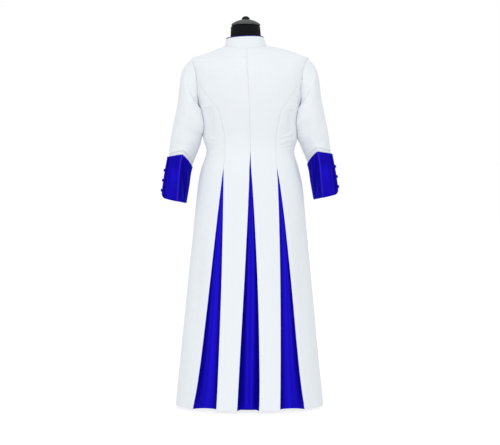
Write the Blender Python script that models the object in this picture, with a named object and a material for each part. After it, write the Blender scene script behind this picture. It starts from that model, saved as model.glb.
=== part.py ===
"""A floor-length cassock standing filled out on a limbless dress form.

White cloth panels are cut to the waist and flare to the hem. Three deep blue inserts open between
the back panels, the sleeves end in deep blue lapped cuffs, and a piped collar stands round the neck.
The wearer's back faces -Y and their left is at -X. The origin is on the floor, under the stand's
middle. Lengths are in metres.
"""
import math
from collections import namedtuple

import bpy
from mathutils import Vector

# Cloth
CLOTH = 0.002                 # wall of each panel, sleeve and insert
COLLAR_CLOTH = 0.003
COLLAR_SEAM_CLOTH = 0.0019    # the collar's wall where it is sewn to the neckline
CUFF_CLOTH = 0.0025
SEAM_GAP = 0.0003             # between two pieces that are sewn edge to edge
ARMHOLE_GAP = 0.0004
COLLAR_GAP = 0.00035
LAYER_GAP = 0.0006            # between an insert and the white edge that hides its margin
CUFF_GAP = 0.0014             # between the sleeve and the cuff round it
LAP_LIFT = 0.0025             # the left front over the right one
CUFF_LAP_LIFT = 0.003         # the cuff's upper end over its lower one

# Sections of the gown's outer face. Height is that of the side; the back and the front may dip.
Section = namedtuple("Section", "height half_width back front back_drop front_drop roundness lean")
BODY = (
    Section(0.009, 0.292, 0.240, 0.235, -0.002, 0, 2.4, 0),       # 0 hem
    Section(0.250, 0.269, 0.214, 0.212, 0, 0, 2.3, 0),            # 1
    Section(0.500, 0.246, 0.189, 0.190, 0, 0, 2.2, 0.001),        # 2 knee
    Section(0.720, 0.224, 0.166, 0.170, 0, 0, 2.2, 0.002),        # 3
    Section(0.862, 0.210, 0.151, 0.156, 0, 0, 2.2, 0.003),        # 4 hip
    Section(0.942, 0.195, 0.135, 0.146, 0, 0, 2.2, 0.002),        # 5 top of the side inserts
    Section(1.008, 0.1755, 0.112, 0.134, 0, 0, 2.2, 0.0035),     # 6 waist, top of the centre insert
    Section(1.060, 0.187, 0.110, 0.132, 0, 0, 2.3, 0.003),        # 7
    Section(1.112, 0.193, 0.118, 0.136, 0, 0, 2.5, 0.002),        # 8
    Section(1.165, 0.199, 0.127, 0.139, 0, 0, 2.7, 0.001),        # 9 foot of the armhole
    Section(1.215, 0.208, 0.131, 0.138, 0, 0, 2.8, 0),            # 10
    Section(1.270, 0.218, 0.129, 0.132, 0, 0, 2.8, 0),            # 11 chest
    Section(1.320, 0.228, 0.122, 0.120, 0.003, 0.010, 2.7, 0),    # 12
    Section(1.358, 0.236, 0.114, 0.107, 0.013, 0.023, 2.6, 0),    # 13
    Section(1.385, 0.230, 0.104, 0.092, 0.019, 0.037, 2.5, 0.003),   # 14 point of the shoulder
    Section(1.397, 0.198, 0.096, 0.083, 0.019, 0.042, 2.4, 0.006),    # 15
    Section(1.410, 0.165, 0.087, 0.075, 0.020, 0.047, 2.3, 0.008),    # 16
    Section(1.423, 0.126, 0.079, 0.069, 0.021, 0.051, 2.2, 0.004),    # 17
    Section(1.436, 0.0815, 0.071, 0.064, 0.021, 0.053, 2.1, -0.0145),   # 18 neckline
)
HEM, CENTRE_APEX, SIDE_APEX, UNDERARM, SHOULDER, NECKLINE = 0, 6, 5, 9, 14, 18
# The back's seams and inserts sway a little to the right and back: place, and turn in degrees
SWAY = ((0, -1.2), (1, 0.45), (2, 1.4), (3, 1.4), (4, 0.70), (6, 0.30), (7, 0.0), (9, 0.0), (10, -0.7),
        (11, -1.8), (12, -3.3), (13, -5.0), (14, -7.2), (15, -9.6), (16, -11.9), (17, -10.2), (18, 3.0))
DROP_CURVE = 1.5              # how fast the neckline dips from the side to the middle
SLOPE_REACH = 0.3             # places over which the surface's slope is taken

# Armhole, an eye-shaped opening centred on the side
ARMHOLE_STEPS = 10
ARMHOLE_BACK, ARMHOLE_FRONT = 17.5, 16.5      # half openings in degrees, behind and before the side
SIDE = 90.0
FRONT = 180.0

# Seam between the centre back and the side back, above the side insert: place, distance from middle
PRINCESS = ((5, 0.104), (6, 0.100), (7, 0.101), (8, 0.108), (9, 0.122), (9.48, 0.138),
            (10.03, 0.160), (10.73, 0.186))
PRINCESS_TIP = 0.0016         # width of the side back where its seam meets the armhole
TUCK = 0.012                  # width of the strip beside an insert or a seam of the back panels
CENTRE_BACK_COLUMNS, SIDE_BACK_COLUMNS, FRONT_COLUMNS = 7, 6, 8

# Blue inserts: width at the hem, and how width and depth grow from the apex down
CENTRE_HALF, CENTRE_CURVE, CENTRE_GROWTH = 0.0418, 1.4, 1.08
SIDE_SHIFT, SHIFT_GROWTH = 0.0175, 0.80
SIDE_WIDTH, SIDE_GROWTH = 0.083, 0.86
SIDE_FLARE, FLARE_GROWTH = 0.013, 10       # the side inserts open more just above the hem
INSERT_DEPTH, DEPTH_GROWTH = 0.044, 1.2
INSERT_MARGIN = 0.010         # what lies hidden behind each white edge
INSERT_LEAST_HALF = 0.003
INSERT_TURN = (0.006, 0.016)  # half widths between which its wall turns to follow the valley's sides
Fold = namedtuple("Fold", "across depth")
VALLEY = (Fold(-1, 0), Fold(-0.90, 0.42), Fold(-0.68, 0.78), Fold(-0.36, 0.96), Fold(0, 1),
          Fold(0.36, 0.96), Fold(0.68, 0.78), Fold(0.90, 0.42), Fold(1, 0))

# Front closure: distances from the middle of the front
CLOSURE_PLAIN, CLOSURE_PLAIN_SHARE = 0.060, 0.5
CLOSURE_FOLD, CLOSURE_STRIP, CLOSURE_EDGE = 0.022, 0.003, 0.018
FRONT_BUTTONS, FRONT_BUTTON_TOP, FRONT_BUTTON_STEP = 13, 1.335, 0.070
FRONT_BUTTON = 0.0070         # radius

# Sections of the right sleeve: its outer and inner edge, seen from behind, and its depth. Its turn
# is how far the outer edge lies behind the middle, and the inner edge before it.
Ring = namedtuple("Ring", "outer_x outer_z inner_x inner_z centre_y half_depth back_drop crease turn")
SLEEVE = (
    Ring(0.262, 1.352, 0.2045, 1.153, -0.002, 0.068, 0, 0, 0),
    Ring(0.274, 1.318, 0.2020, 1.143, -0.003, 0.070, 0, 0, 0),
    Ring(0.281, 1.275, 0.1995, 1.132, -0.004, 0.071, 0, 0, 0),
    Ring(0.288, 1.215, 0.1985, 1.116, -0.004, 0.071, 0, 0, 0),
    Ring(0.302, 1.150, 0.1970, 1.094, -0.003, 0.069, 0.001, 0, 0),
    Ring(0.315, 1.085, 0.1950, 1.064, 0.000, 0.066, 0.002, 0, 0.001),
    Ring(0.3225, 1.035, 0.2080, 1.028, 0.006, 0.062, 0.004, 0.0010, 0.004),
    Ring(0.3255, 1.003, 0.2270, 0.985, 0.012, 0.057, 0.005, 0.0030, 0.010),
    Ring(0.3305, 0.975, 0.2410, 0.944, 0.017, 0.049, 0.006, 0.0050, 0.017),
    Ring(0.3395, 0.925, 0.2495, 0.893, 0.024, 0.048, 0.007, 0.0070, 0.026),
    Ring(0.3470, 0.875, 0.2585, 0.846, 0.032, 0.047, 0.007, 0.0080, 0.030),
    Ring(0.3500, 0.840, 0.2635, 0.822, 0.036, 0.047, 0.001, 0.0080, 0.031),
)
WRIST = len(SLEEVE)
SLEEVE_AROUND = 2 * ARMHOLE_STEPS
SLEEVE_ROWS = (0, 1, 2, 3, 4, 5, 6, 7, 7.5, 8, 8.5, 9, 9.5)
LEFT_SLEEVE_DROP = 0.015      # the left cuff hangs this much lower than the right one
LEFT_SLEEVE_SHIFT = 0.004     # and this much nearer to the body
BACK_SEAM = 90.0              # angle of the sleeve's back seam, from its outer side
# The sleeve is pressed along that seam into a ridge with a flat face to each side: ring, and the
# ridge's angle or how flat a face is
RIDGE = ((6, 90), (8, 92), (12, 106))
FLAT_OUTER = ((6, 0.0), (8.5, 0.60), (12, 0.78))
FLAT_INNER = ((6, 0.0), (8.5, 0.80), (12, 0.88))

# Cuffs: the ring at which the top edge lies, by angle round the sleeve from its outer side
CUFF_TOP = ((0, 8.0), (90, 7.45), (180, 8.5), (270, 8.3), (360, 8.0))
CUFF_ROWS = (9.5, 10.2, 11)
CUFF_LAP = 12.0               # degrees that each end runs past the outer side
CUFF_RAMP = (324.0, 348.0)    # where the upper end climbs over the lower one
CUFF_CORNER, CUFF_CORNER_SPREAD = 0.50, 21.0
CUFF_BUTTONS = (0.952, 0.912, 0.872)
CUFF_BUTTON = 0.0065          # radius

# A covered button: height over its seat, and share of its radius
BUTTON = ((SEAM_GAP, 0.80), (0.0014, 1.0), (0.0034, 0.84), (0.0048, 0.42))
BUTTON_SIDES = 10

# Collar and its piping
Edge = namedtuple("Edge", "half_width back front side_height front_height lean")
COLLAR_TOP = Edge(0.0755, 0.066, 0.060, 1.463, 1.425, -0.0185)
COLLAR_TILT = 0.045           # rise of its top edge for each metre towards the wearer's right
COLLAR_ROWS = (0.0, 0.14, 0.42, 0.72, 1.0)
PIPING = 0.0022

# Dress form: distance between its face and the cloth over it, by place
FORM_EASE = ((3.56, 0.022), (6, 0.012), (9, 0.010), (13, 0.008), (14, 0.003), (15, 0.00045),
             (18, 0.00045))
FORM_PLACES = (3.56, 4, 5, 6, 7, 8, 9, 10, 11, 12, 13, 14, 15, 16, 17, 18)
NECK_ROUNDNESS = 2.1
NECK = (
    Section(1.4370, 0.0670, 0.056, 0.050, 0.021, 0.053, NECK_ROUNDNESS, -0.0130),
    Section(1.4480, 0.0620, 0.052, 0.047, 0.014, 0.034, NECK_ROUNDNESS, -0.0140),
    Section(1.4700, 0.0610, 0.051, 0.048, 0.004, 0.010, NECK_ROUNDNESS, -0.0150),
    Section(1.5097, 0.0585, 0.050, 0.047, 0, 0, NECK_ROUNDNESS, -0.0160),
)
CAP = ((1.5100, 0.0580), (1.5200, 0.0585), (1.5265, 0.0510), (1.5325, 0.0405), (1.5373, 0.0275),
       (1.5395, 0.0170))
CAP_FLATNESS = 0.85           # front to back over side to side
KNOB = ((1.5398, 0.0100), (1.5412, 0.0140), (1.5450, 0.0160), (1.5500, 0.0140), (1.5530, 0.0080))
CAP_X, KNOB_X = -0.0145, -0.0150
BASE = ((0.0000, 0.1400), (0.0030, 0.1400), (0.0045, 0.1340), (0.0075, 0.0500), (0.0200, 0.0260),
        (0.0240, 0.0220))
POLE = 0.0125                 # radius
ROUND_SIDES = 32
SKEW = 0.85                   # a quad is cut the other way where that cut is shorter by this share


def along(table, place):
    """The row of a table at a place counted from its first row, read on a smooth curve."""
    last = len(table) - 1
    start = max(0, min(int(place), last - 1))
    share = place - start
    before, here, there, after = (table[max(0, min(last, start + step))] for step in (-1, 0, 1, 2))
    row = []
    for a, b, c, d in zip(before, here, there, after):
        bend = 2 * a - 5 * b + 4 * c - d
        twist = 3 * b - 3 * c + d - a
        row.append(0.5 * (2 * b + (c - a) * share + bend * share ** 2 + twist * share ** 3))
    return row


def straight(table, key):
    """The value beside a key in a table of pairs, read on straight lines."""
    for (low, low_value), (high, high_value) in zip(table, table[1:]):
        if key <= high:
            share = max(0.0, (key - low) / (high - low))
            return low_value + (high_value - low_value) * share
    return table[-1][1]


def smooth(share):
    share = max(0.0, min(1.0, share))
    return share * share * (3 - 2 * share)


# The gown's surface

def section_point(row, angle):
    """A point on a section, at an angle from the centre back towards +X."""
    turn = math.radians(angle)
    side, ahead = math.sin(turn), -math.cos(turn)
    depth, drop = (row.front, row.front_drop) if ahead > 0 else (row.back, row.back_drop)
    rim = (abs(side) / row.half_width) ** row.roundness + (abs(ahead) / depth) ** row.roundness
    reach = rim ** (-1 / row.roundness)
    dip = drop * (reach * abs(ahead) / depth) ** DROP_CURVE
    return Vector((row.lean + reach * side, reach * ahead, row.height - dip))


def swayed(angle, place):
    """The angle with the sway of the back's lines, which dies out towards the sides."""
    turn = math.radians(angle)
    if math.cos(turn) <= 0:
        return angle
    return angle + straight(SWAY, place) * (1 - math.sin(turn) ** 4)


def body_point(angle, place):
    return section_point(Section(*along(BODY, place)), swayed(angle, place))


def body_slope(angle, place):
    """The way up the gown's surface."""
    low, high = max(HEM, place - SLOPE_REACH), min(NECKLINE, place + SLOPE_REACH)
    return (body_point(angle, high) - body_point(angle, low)).normalized()


def body_normal(angle, place):
    across = body_point(angle + 0.2, place) - body_point(angle - 0.2, place)
    return across.cross(body_slope(angle, place)).normalized()


def height_of(place):
    return along(BODY, place)[0]


def angle_at(across, place, ahead=False):
    """The angle of the point that lies a distance across from the middle of the back or front."""
    row = Section(*along(BODY, place))
    share = min(abs(across) / row.half_width, 0.999)
    depth = (row.front if ahead else row.back) * (1 - share ** row.roundness) ** (1 / row.roundness)
    angle = math.degrees(math.atan2(across, depth))
    return FRONT - angle if ahead else angle


def armhole_open(place):
    """How far the armhole is open at a place, from 0 at its foot to 1 and back to 0."""
    if not UNDERARM < place < SHOULDER:
        return 0.0
    share = 1 - 2 * (place - UNDERARM) / (SHOULDER - UNDERARM)
    return math.sqrt(1 - share * share)


def armhole_place(step):
    turn = math.pi * step / ARMHOLE_STEPS
    return UNDERARM + (SHOULDER - UNDERARM) * (1 - math.cos(turn)) / 2


MID_ARMHOLE = armhole_place(ARMHOLE_STEPS // 2)
ARMHOLE_PLACES = [armhole_place(step) for step in range(ARMHOLE_STEPS + 1)]
SKIRT_PLACES = list(range(HEM, UNDERARM))
YOKE_PLACES = list(range(SHOULDER + 1, NECKLINE + 1))
PANEL_PLACES = SKIRT_PLACES + ARMHOLE_PLACES + YOKE_PLACES


# Edges of the panels, as angles

def seam_half(place):
    """Half a seam's gap, as an angle at the gown's side."""
    return math.degrees(SEAM_GAP / 2 / along(BODY, place)[1])


def fall(apex, place):
    """How far down an insert a place lies, from 0 at its apex to 1 at the hem."""
    top = BODY[apex].height
    return max(0.0, (top - height_of(place)) / (top - BODY[HEM].height))


def centre_insert_half(place):
    down = fall(CENTRE_APEX, place)
    return CENTRE_HALF * (1 - (1 - down) ** CENTRE_CURVE) ** CENTRE_GROWTH


def side_insert_edges(place):
    down = fall(SIDE_APEX, place)
    near = PRINCESS[0][1] + SIDE_SHIFT * down ** SHIFT_GROWTH
    wide = SIDE_WIDTH * down ** SIDE_GROWTH + SIDE_FLARE * down ** FLARE_GROWTH
    return near, near + wide


def princess_edges(place):
    """The angles of the two edges that meet, or hold an insert, beside the centre back."""
    half = SEAM_GAP / 2
    if place < SIDE_APEX:
        near, far = side_insert_edges(place)
        return angle_at(near, place), angle_at(far, place)
    if place < MID_ARMHOLE:
        across = straight(PRINCESS, place)
        return angle_at(across - half, place), angle_at(across + half, place)
    edge = back_side_edge(place)
    tip = math.degrees(PRINCESS_TIP / along(BODY, place)[1])
    return edge - tip - 2 * seam_half(place), edge - tip


def back_side_edge(place):
    return SIDE - max(ARMHOLE_BACK * armhole_open(place), seam_half(place))


def front_side_edge(place):
    return SIDE + max(ARMHOLE_FRONT * armhole_open(place), seam_half(place))


def spread(start, end, count, first=None, last=None):
    """Angles from start to end, with a narrower first or last strip."""
    share = (end - start) / (count - 1)
    first = min(first or share, share)
    last = min(last or share, share)
    inner = [start + first + (end - last - start - first) * step / (count - 3)
             for step in range(count - 2)]
    return [start] + inner + [end]


def centre_back_angles(place):
    row = Section(*along(BODY, place))
    tuck = math.degrees(TUCK / row.back)
    near = angle_at(max(centre_insert_half(place), SEAM_GAP / 2), place)
    far = princess_edges(place)[0] if place <= MID_ARMHOLE else back_side_edge(place)
    return spread(near, far, CENTRE_BACK_COLUMNS, tuck, tuck)


def side_back_angles(place):
    row = Section(*along(BODY, place))
    near = princess_edges(place)[1]
    return spread(near, back_side_edge(place), SIDE_BACK_COLUMNS, math.degrees(TUCK / row.back))


def front_angles(place):
    row = Section(*along(BODY, place))
    plain = min(CLOSURE_PLAIN, CLOSURE_PLAIN_SHARE * row.half_width)
    panel = spread(front_side_edge(place), angle_at(plain, place, True), FRONT_COLUMNS)
    closure = (CLOSURE_FOLD, CLOSURE_STRIP, -CLOSURE_STRIP, -CLOSURE_EDGE)
    return panel + [angle_at(across, place, True) for across in closure]


def closure_lift(side):
    """How far each column of a front lies above the gown's surface."""
    if side > 0:
        return [0.0] * (FRONT_COLUMNS + 4)
    return [0.0] * FRONT_COLUMNS + [LAP_LIFT] * 4


# Meshes

def new_object(name, points, faces, material):
    mesh = bpy.data.meshes.new(name)
    mesh.from_pydata(points, [], faces)
    mesh.materials.append(material)
    mesh.shade_smooth()
    mesh.set_sharp_from_angle(angle=math.radians(35))
    mesh.validate()
    thing = bpy.data.objects.new(name, mesh)
    bpy.context.scene.collection.objects.link(thing)
    return thing


def two_triangles(a, b, c, d, crossed=False):
    """A quad's halves, cut from a to c, or from b to d where it is crossed."""
    return [(a, b, d), (b, c, d)] if crossed else [(a, b, c), (a, c, d)]


def skewed(points, a, b, c, d):
    """Whether the cut from b to d is plainly the shorter one."""
    return (points[b] - points[d]).length < SKEW * (points[a] - points[c]).length


def walled(name, outer, inner, material, closed=False):
    """A cloth wall between two grids of points, with its rims; rows run up and columns round."""
    rows, columns = len(outer), len(outer[0])
    points = [point for grid in (outer, inner) for row in grid for point in row]
    back = rows * columns
    faces = []
    for row in range(rows - 1):
        for column in range(columns if closed else columns - 1):
            after = (column + 1) % columns
            a, b = row * columns + column, row * columns + after
            c, d = b + columns, a + columns
            halves = two_triangles(a, b, c, d, skewed(points, a, b, c, d))
            faces += halves + [tuple(back + point for point in reversed(half)) for half in halves]
    for column in range(columns if closed else columns - 1):
        after = (column + 1) % columns
        foot, head = column, (rows - 1) * columns + column
        foot_next, head_next = after, (rows - 1) * columns + after
        faces += two_triangles(foot, back + foot, back + foot_next, foot_next)
        faces += two_triangles(head, head_next, back + head_next, back + head)
    if not closed:
        for row in range(rows - 1):
            low, high = row * columns, (row + 1) * columns
            low_end, high_end = low + columns - 1, high + columns - 1
            faces += two_triangles(low, high, back + high, back + low)
            faces += two_triangles(low_end, back + low_end, back + high_end, high_end)
    return new_object(name, points, faces, material)


def stacked(name, rings, material):
    """A closed solid through rings, from the lowest to the highest, each counter-clockwise."""
    around = len(rings[0])
    points = [point for ring in rings for point in ring]
    top = (len(rings) - 1) * around
    faces = [tuple(reversed(range(around))), tuple(range(top, top + around))]
    for level in range(len(rings) - 1):
        for step in range(around):
            after = (step + 1) % around
            a, b = level * around + step, level * around + after
            c, d = b + around, a + around
            faces += two_triangles(a, b, c, d, skewed(points, a, b, c, d))
    return new_object(name, points, faces, material)


def panel(name, places, angles_of, side, material, lift=None):
    """A panel of the gown; side is 1 for the +X half and -1 for the other."""
    outer, inner = [], []
    for place in places:
        angles = angles_of(place)
        lifts = lift or [0.0] * len(angles)
        pairs = list(zip(angles, lifts))[::side]
        spots = [(body_point(side * angle, place), body_normal(side * angle, place), rise)
                 for angle, rise in pairs]
        outer.append([point + normal * rise for point, normal, rise in spots])
        inner.append([point + normal * (rise - CLOTH) for point, normal, rise in spots])
    return walled(name, outer, inner, material)


# Inserts

def insert_frame(which, place):
    """The middle and the half width of an insert, and how deep its valley is."""
    if which == 0:
        middle, half = 0.0, centre_insert_half(place)
        down = fall(CENTRE_APEX, place)
    elif place < SIDE_APEX:
        near, far = side_insert_edges(place)
        middle, half = (near + far) / 2, (far - near) / 2
        down = fall(SIDE_APEX, place)
    else:
        middle, half, down = straight(PRINCESS, place), 0.0, 0.0
    return middle, max(half, INSERT_LEAST_HALF), INSERT_DEPTH * down ** DEPTH_GROWTH


def insert_row(which, place):
    """The outer points of an insert at a place, and the directions of its wall."""
    middle, half, depth = insert_frame(which, place)
    side = -1 if which < 0 else 1
    folds = [(middle - half - INSERT_MARGIN, 0)]
    folds += [(middle + half * fold.across, depth * fold.depth) for fold in VALLEY]
    folds += [(middle + half + INSERT_MARGIN, 0)]
    points, normals = [], []
    for across, down in folds[::side]:
        angle = side * angle_at(across, place)
        normal = body_normal(angle, place)
        level = Vector((normal.x, normal.y, 0)).normalized()
        margin = body_point(angle, place) - normal * (CLOTH + LAYER_GAP)
        points.append(margin - level * down)
        normals.append(normal)
    turned = smooth((half - INSERT_TURN[0]) / (INSERT_TURN[1] - INSERT_TURN[0]))
    walls = []
    for step, normal in enumerate(normals):
        before, after = points[max(0, step - 1)], points[min(len(points) - 1, step + 1)]
        own = (after - before).cross(body_slope(angle_at(middle, place) * side, place)).normalized()
        walls.append((normal * (1 - turned) + own * turned).normalized())
    return points, walls


def insert(name, which, apex, material):
    outer, inner = [], []
    for place in range(HEM, apex + 2):
        points, walls = insert_row(which, place)
        outer.append(points)
        inner.append([point - wall * CLOTH for point, wall in zip(points, walls)])
    return walled(name, outer, inner, material)


# Sleeves and cuffs

def armhole_edge(side, around):
    """A point of the armhole's edge, and the way into the opening along the gown's surface."""
    turn = math.radians(around)
    place = UNDERARM + (SHOULDER - UNDERARM) * (1 + math.cos(turn)) / 2
    opening = ARMHOLE_BACK if math.sin(turn) > 0 else ARMHOLE_FRONT
    angle = side * (SIDE - opening * math.sin(turn))
    point, normal = body_point(angle, place), body_normal(angle, place)
    way = body_point(side * SIDE, MID_ARMHOLE) - point
    way -= normal * way.dot(normal)
    return point, way.normalized()


def pressed(around, number):
    """How far out and back a point of a ring lies, with the back's two flat faces."""
    ridge = math.radians(straight(RIDGE, number))
    around = around % 360
    if around > 180:
        turn = math.radians(around)
        return math.cos(turn), math.sin(turn)
    corner = (math.cos(ridge), math.sin(ridge))
    if around < BACK_SEAM:
        start, end, flat = (1.0, 0.0), corner, straight(FLAT_OUTER, number)
        share = around / BACK_SEAM
        turn = ridge * share
    else:
        start, end, flat = corner, (-1.0, 0.0), straight(FLAT_INNER, number)
        share = around / BACK_SEAM - 1
        turn = ridge + (math.pi - ridge) * share
    out, back = (low + (high - low) * share for low, high in zip(start, end))
    return math.cos(turn) * (1 - flat) + out * flat, math.sin(turn) * (1 - flat) + back * flat


def ring_point(side, around, number):
    if number == 0:
        point, way = armhole_edge(side, around)
        return point + way * ARMHOLE_GAP
    ring = SLEEVE[number - 1]
    out, back = pressed(around, number)
    x = (ring.outer_x + ring.inner_x) / 2 + (ring.outer_x - ring.inner_x) / 2 * out
    z = (ring.outer_z + ring.inner_z) / 2 + (ring.outer_z - ring.inner_z) / 2 * out
    away = abs((around - BACK_SEAM + 180) % 360 - 180)
    y = ring.centre_y - ring.half_depth * back - ring.crease * max(0.0, 1 - away / BACK_SEAM)
    y -= ring.turn * out
    z -= ring.back_drop * max(0.0, back)
    if side < 0:
        z -= LEFT_SLEEVE_DROP * math.sqrt(number / WRIST)
        x -= LEFT_SLEEVE_SHIFT * number / WRIST
    return Vector((side * x, y, z))


def sleeve_point(side, around, place):
    start = max(0, min(int(place), WRIST - 1))
    numbers = [max(0, min(WRIST, start + step)) for step in (-1, 0, 1, 2)]
    rings = [ring_point(side, around, number) for number in numbers]
    if start == 0:
        return Vector(along(rings[1:], place))
    return Vector(along(rings, 1 + place - start))


def sleeve_normal(side, around, place):
    across = sleeve_point(side, around + 4, place) - sleeve_point(side, around - 4, place)
    low, high = max(0, place - 0.05), min(WRIST, place + 0.05)
    down = sleeve_point(side, around, high) - sleeve_point(side, around, low)
    return across.cross(down).normalized() * side


def sleeve_inner_point(side, around, place):
    """The wall's inner side, which at the armhole stays on its own side of the seam."""
    wall = sleeve_normal(side, around, place) * -CLOTH
    if place == 0:
        way = armhole_edge(side, around)[1]
        wall -= way * min(0.0, wall.dot(way))
    return sleeve_point(side, around, place) + wall


def sleeve(name, side, material):
    outer, inner = [], []
    arounds = [360 / SLEEVE_AROUND * step for step in range(SLEEVE_AROUND)][::-side]
    for place in SLEEVE_ROWS:
        outer.append([sleeve_point(side, around, place) for around in arounds])
        inner.append([sleeve_inner_point(side, around, place) for around in arounds])
    return walled(name, outer[::-1], inner[::-1], material, closed=True)


def cuff_bottom(around):
    """The ring of the lower edge, rounded up at the corners of the lap."""
    away = abs((around + 180) % 360 - 180)
    return WRIST - CUFF_CORNER * math.exp(-(away / CUFF_CORNER_SPREAD) ** 2)


def cuff_top(around):
    return straight(CUFF_TOP, around % 360)


def cuff_lift(around):
    start, end = CUFF_RAMP
    return CUFF_LAP_LIFT * max(0.0, min(1.0, (around - start) / (end - start)))


def cuff_point(side, around, place, out):
    """A point at a distance out from the cuff's inner face."""
    normal = sleeve_normal(side, around, place)
    return sleeve_point(side, around, place) + normal * (CUFF_GAP + cuff_lift(around) + out)


def cuff(name, side, material):
    step = 360 / SLEEVE_AROUND
    arounds = [-CUFF_LAP] + [step * number for number in range(SLEEVE_AROUND - 1)]
    arounds += [sum(CUFF_RAMP) / 2, CUFF_RAMP[1], 360.0, 360.0 + CUFF_LAP]
    arounds = arounds[::-side]
    edges = {around: (cuff_top(around), cuff_bottom(around)) for around in arounds}
    outer, inner = [], []
    for number in range(len(CUFF_ROWS) + 3):
        places = []
        for around in arounds:
            top, bottom = edges[around]
            rows = (top, (top + CUFF_ROWS[0]) / 2) + CUFF_ROWS + (bottom,)
            places.append(rows[number])
        spots = list(zip(arounds, places))
        outer.append([cuff_point(side, around, place, CUFF_CLOTH) for around, place in spots])
        inner.append([cuff_point(side, around, place, 0.0) for around, place in spots])
    return walled(name, outer[::-1], inner[::-1], material)


# Buttons, collar and piping

def button(name, seat, normal, radius, material):
    """A covered dome button whose flat back faces its seat."""
    turned = normal.to_track_quat("Z", "Y")
    rings = []
    for height, share in BUTTON:
        ring = []
        for step in range(BUTTON_SIDES):
            turn = 2 * math.pi * step / BUTTON_SIDES
            spot = Vector((math.cos(turn), math.sin(turn), 0)) * radius * share
            ring.append(seat + turned @ (spot + Vector((0, 0, height))))
        rings.append(ring)
    return stacked(name, rings, material)


def front_seat(height):
    """The spot on the lapped front's flat middle strip at a height, and its direction."""
    spots = [(body_point(FRONT, place), body_normal(FRONT, place)) for place in PANEL_PLACES]
    for (low, low_normal), (high, high_normal) in zip(spots, spots[1:]):
        if low.z <= height <= high.z:
            share = (height - low.z) / (high.z - low.z)
            normal = low_normal.lerp(high_normal, share).normalized()
            return low.lerp(high, share) + normal * LAP_LIFT, normal


def cuff_seat(side, height):
    """The spot on the outer side of a cuff's upper end at a height, and its direction."""
    low, high = cuff_top(360.0), cuff_bottom(360.0)
    for _ in range(30):
        middle = (low + high) / 2
        if cuff_point(side, 360.0, middle, CUFF_CLOTH).z > height:
            low = middle
        else:
            high = middle
    return cuff_point(side, 360.0, low, CUFF_CLOTH), sleeve_normal(side, 360.0, low)


def collar_angles():
    """Angles round the collar from one front end to the other, on the panels' own points."""
    back = centre_back_angles(NECKLINE)
    front = front_angles(NECKLINE)[:FRONT_COLUMNS + 2]
    right = back[1:-1] + [SIDE] + front[1:]
    return [-angle for angle in reversed(right)] + [0.0] + right


def collar_top_point(angle):
    edge = COLLAR_TOP
    front_drop = edge.side_height - edge.front_height
    row = Section(edge.side_height, edge.half_width, edge.back, edge.front, 0, front_drop,
                  NECK_ROUNDNESS, edge.lean)
    point = section_point(row, angle)
    point.z += COLLAR_TILT * (point.x - edge.lean)
    return point


def collar_spot(angle, share):
    foot = body_point(angle, NECKLINE) + body_slope(angle, NECKLINE) * COLLAR_GAP
    return foot.lerp(collar_top_point(angle), share)


def collar_normal(angle, share):
    across = collar_spot(angle + 1, share) - collar_spot(angle - 1, share)
    return across.cross(collar_spot(angle, 1) - collar_spot(angle, 0)).normalized()


def collar(name, material):
    outer, inner = [], []
    for share in COLLAR_ROWS:
        spots = [(collar_spot(angle, share), angle) for angle in collar_angles()]
        outer.append([spot for spot, angle in spots])
        if share == 0:
            inner.append([spot - body_normal(angle, NECKLINE) * COLLAR_SEAM_CLOTH
                          for spot, angle in spots])
        else:
            inner.append([spot - collar_normal(angle, share) * COLLAR_CLOTH
                          for spot, angle in spots])
    return walled(name, outer, inner, material)


def piping(name, material):
    """A cord of cloth along the middle of the collar's top edge."""
    curve = bpy.data.curves.new(name, "CURVE")
    curve.dimensions = "3D"
    curve.bevel_depth = PIPING
    curve.bevel_resolution = 1
    curve.use_fill_caps = True
    curve.materials.append(material)
    angles = collar_angles()
    spline = curve.splines.new("POLY")
    spline.points.add(len(angles) - 1)
    for knot, angle in zip(spline.points, angles):
        normal = collar_normal(angle, 1)
        rise = normal.cross(collar_top_point(angle + 1) - collar_top_point(angle - 1)).normalized()
        spot = collar_top_point(angle) - normal * COLLAR_CLOTH / 2
        knot.co = (*(spot + rise * (PIPING + SEAM_GAP)), 1)
    thing = bpy.data.objects.new(name, curve)
    bpy.context.scene.collection.objects.link(thing)
    return thing


# Dress form and its stand

def form_angles(place):
    """Angles round the form, on the panels' own points where the gown rests on it."""
    place = max(place, SHOULDER + 1)
    back = centre_back_angles(place)
    front = front_angles(place)[:FRONT_COLUMNS + 2]
    right = back[1:-1] + [SIDE] + front[1:]
    return [0.0] + right + [-angle for angle in reversed(right)]


def torso(name, material):
    rings = []
    for place in FORM_PLACES:
        inward = CLOTH + straight(FORM_EASE, place)
        rings.append([body_point(angle, place) - body_normal(angle, place) * inward
                      for angle in form_angles(place)])
    underside = height_of(FORM_PLACES[0])
    for point in rings[0]:
        point.z = underside
    angles = form_angles(NECKLINE)
    rings += [[section_point(row, angle) for angle in angles] for row in NECK]
    return stacked(name, rings, material)


def turned_solid(name, profile, centre_x, flatness, material):
    """A solid of level ovals, from pairs of height and radius."""
    rings = []
    for height, radius in profile:
        turns = [2 * math.pi * step / ROUND_SIDES for step in range(ROUND_SIDES)]
        rings.append([Vector((centre_x + radius * math.cos(turn),
                              radius * flatness * math.sin(turn), height)) for turn in turns])
    return stacked(name, rings, material)


def material(name, colour, roughness, metallic=0.0):
    made = bpy.data.materials.new(name)
    made.use_nodes = True
    shader = made.node_tree.nodes["Principled BSDF"]
    shader.inputs["Base Color"].default_value = (*colour, 1)
    shader.inputs["Roughness"].default_value = roughness
    shader.inputs["Metallic"].default_value = metallic
    made.diffuse_color = (*colour, 1)
    return made


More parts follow.
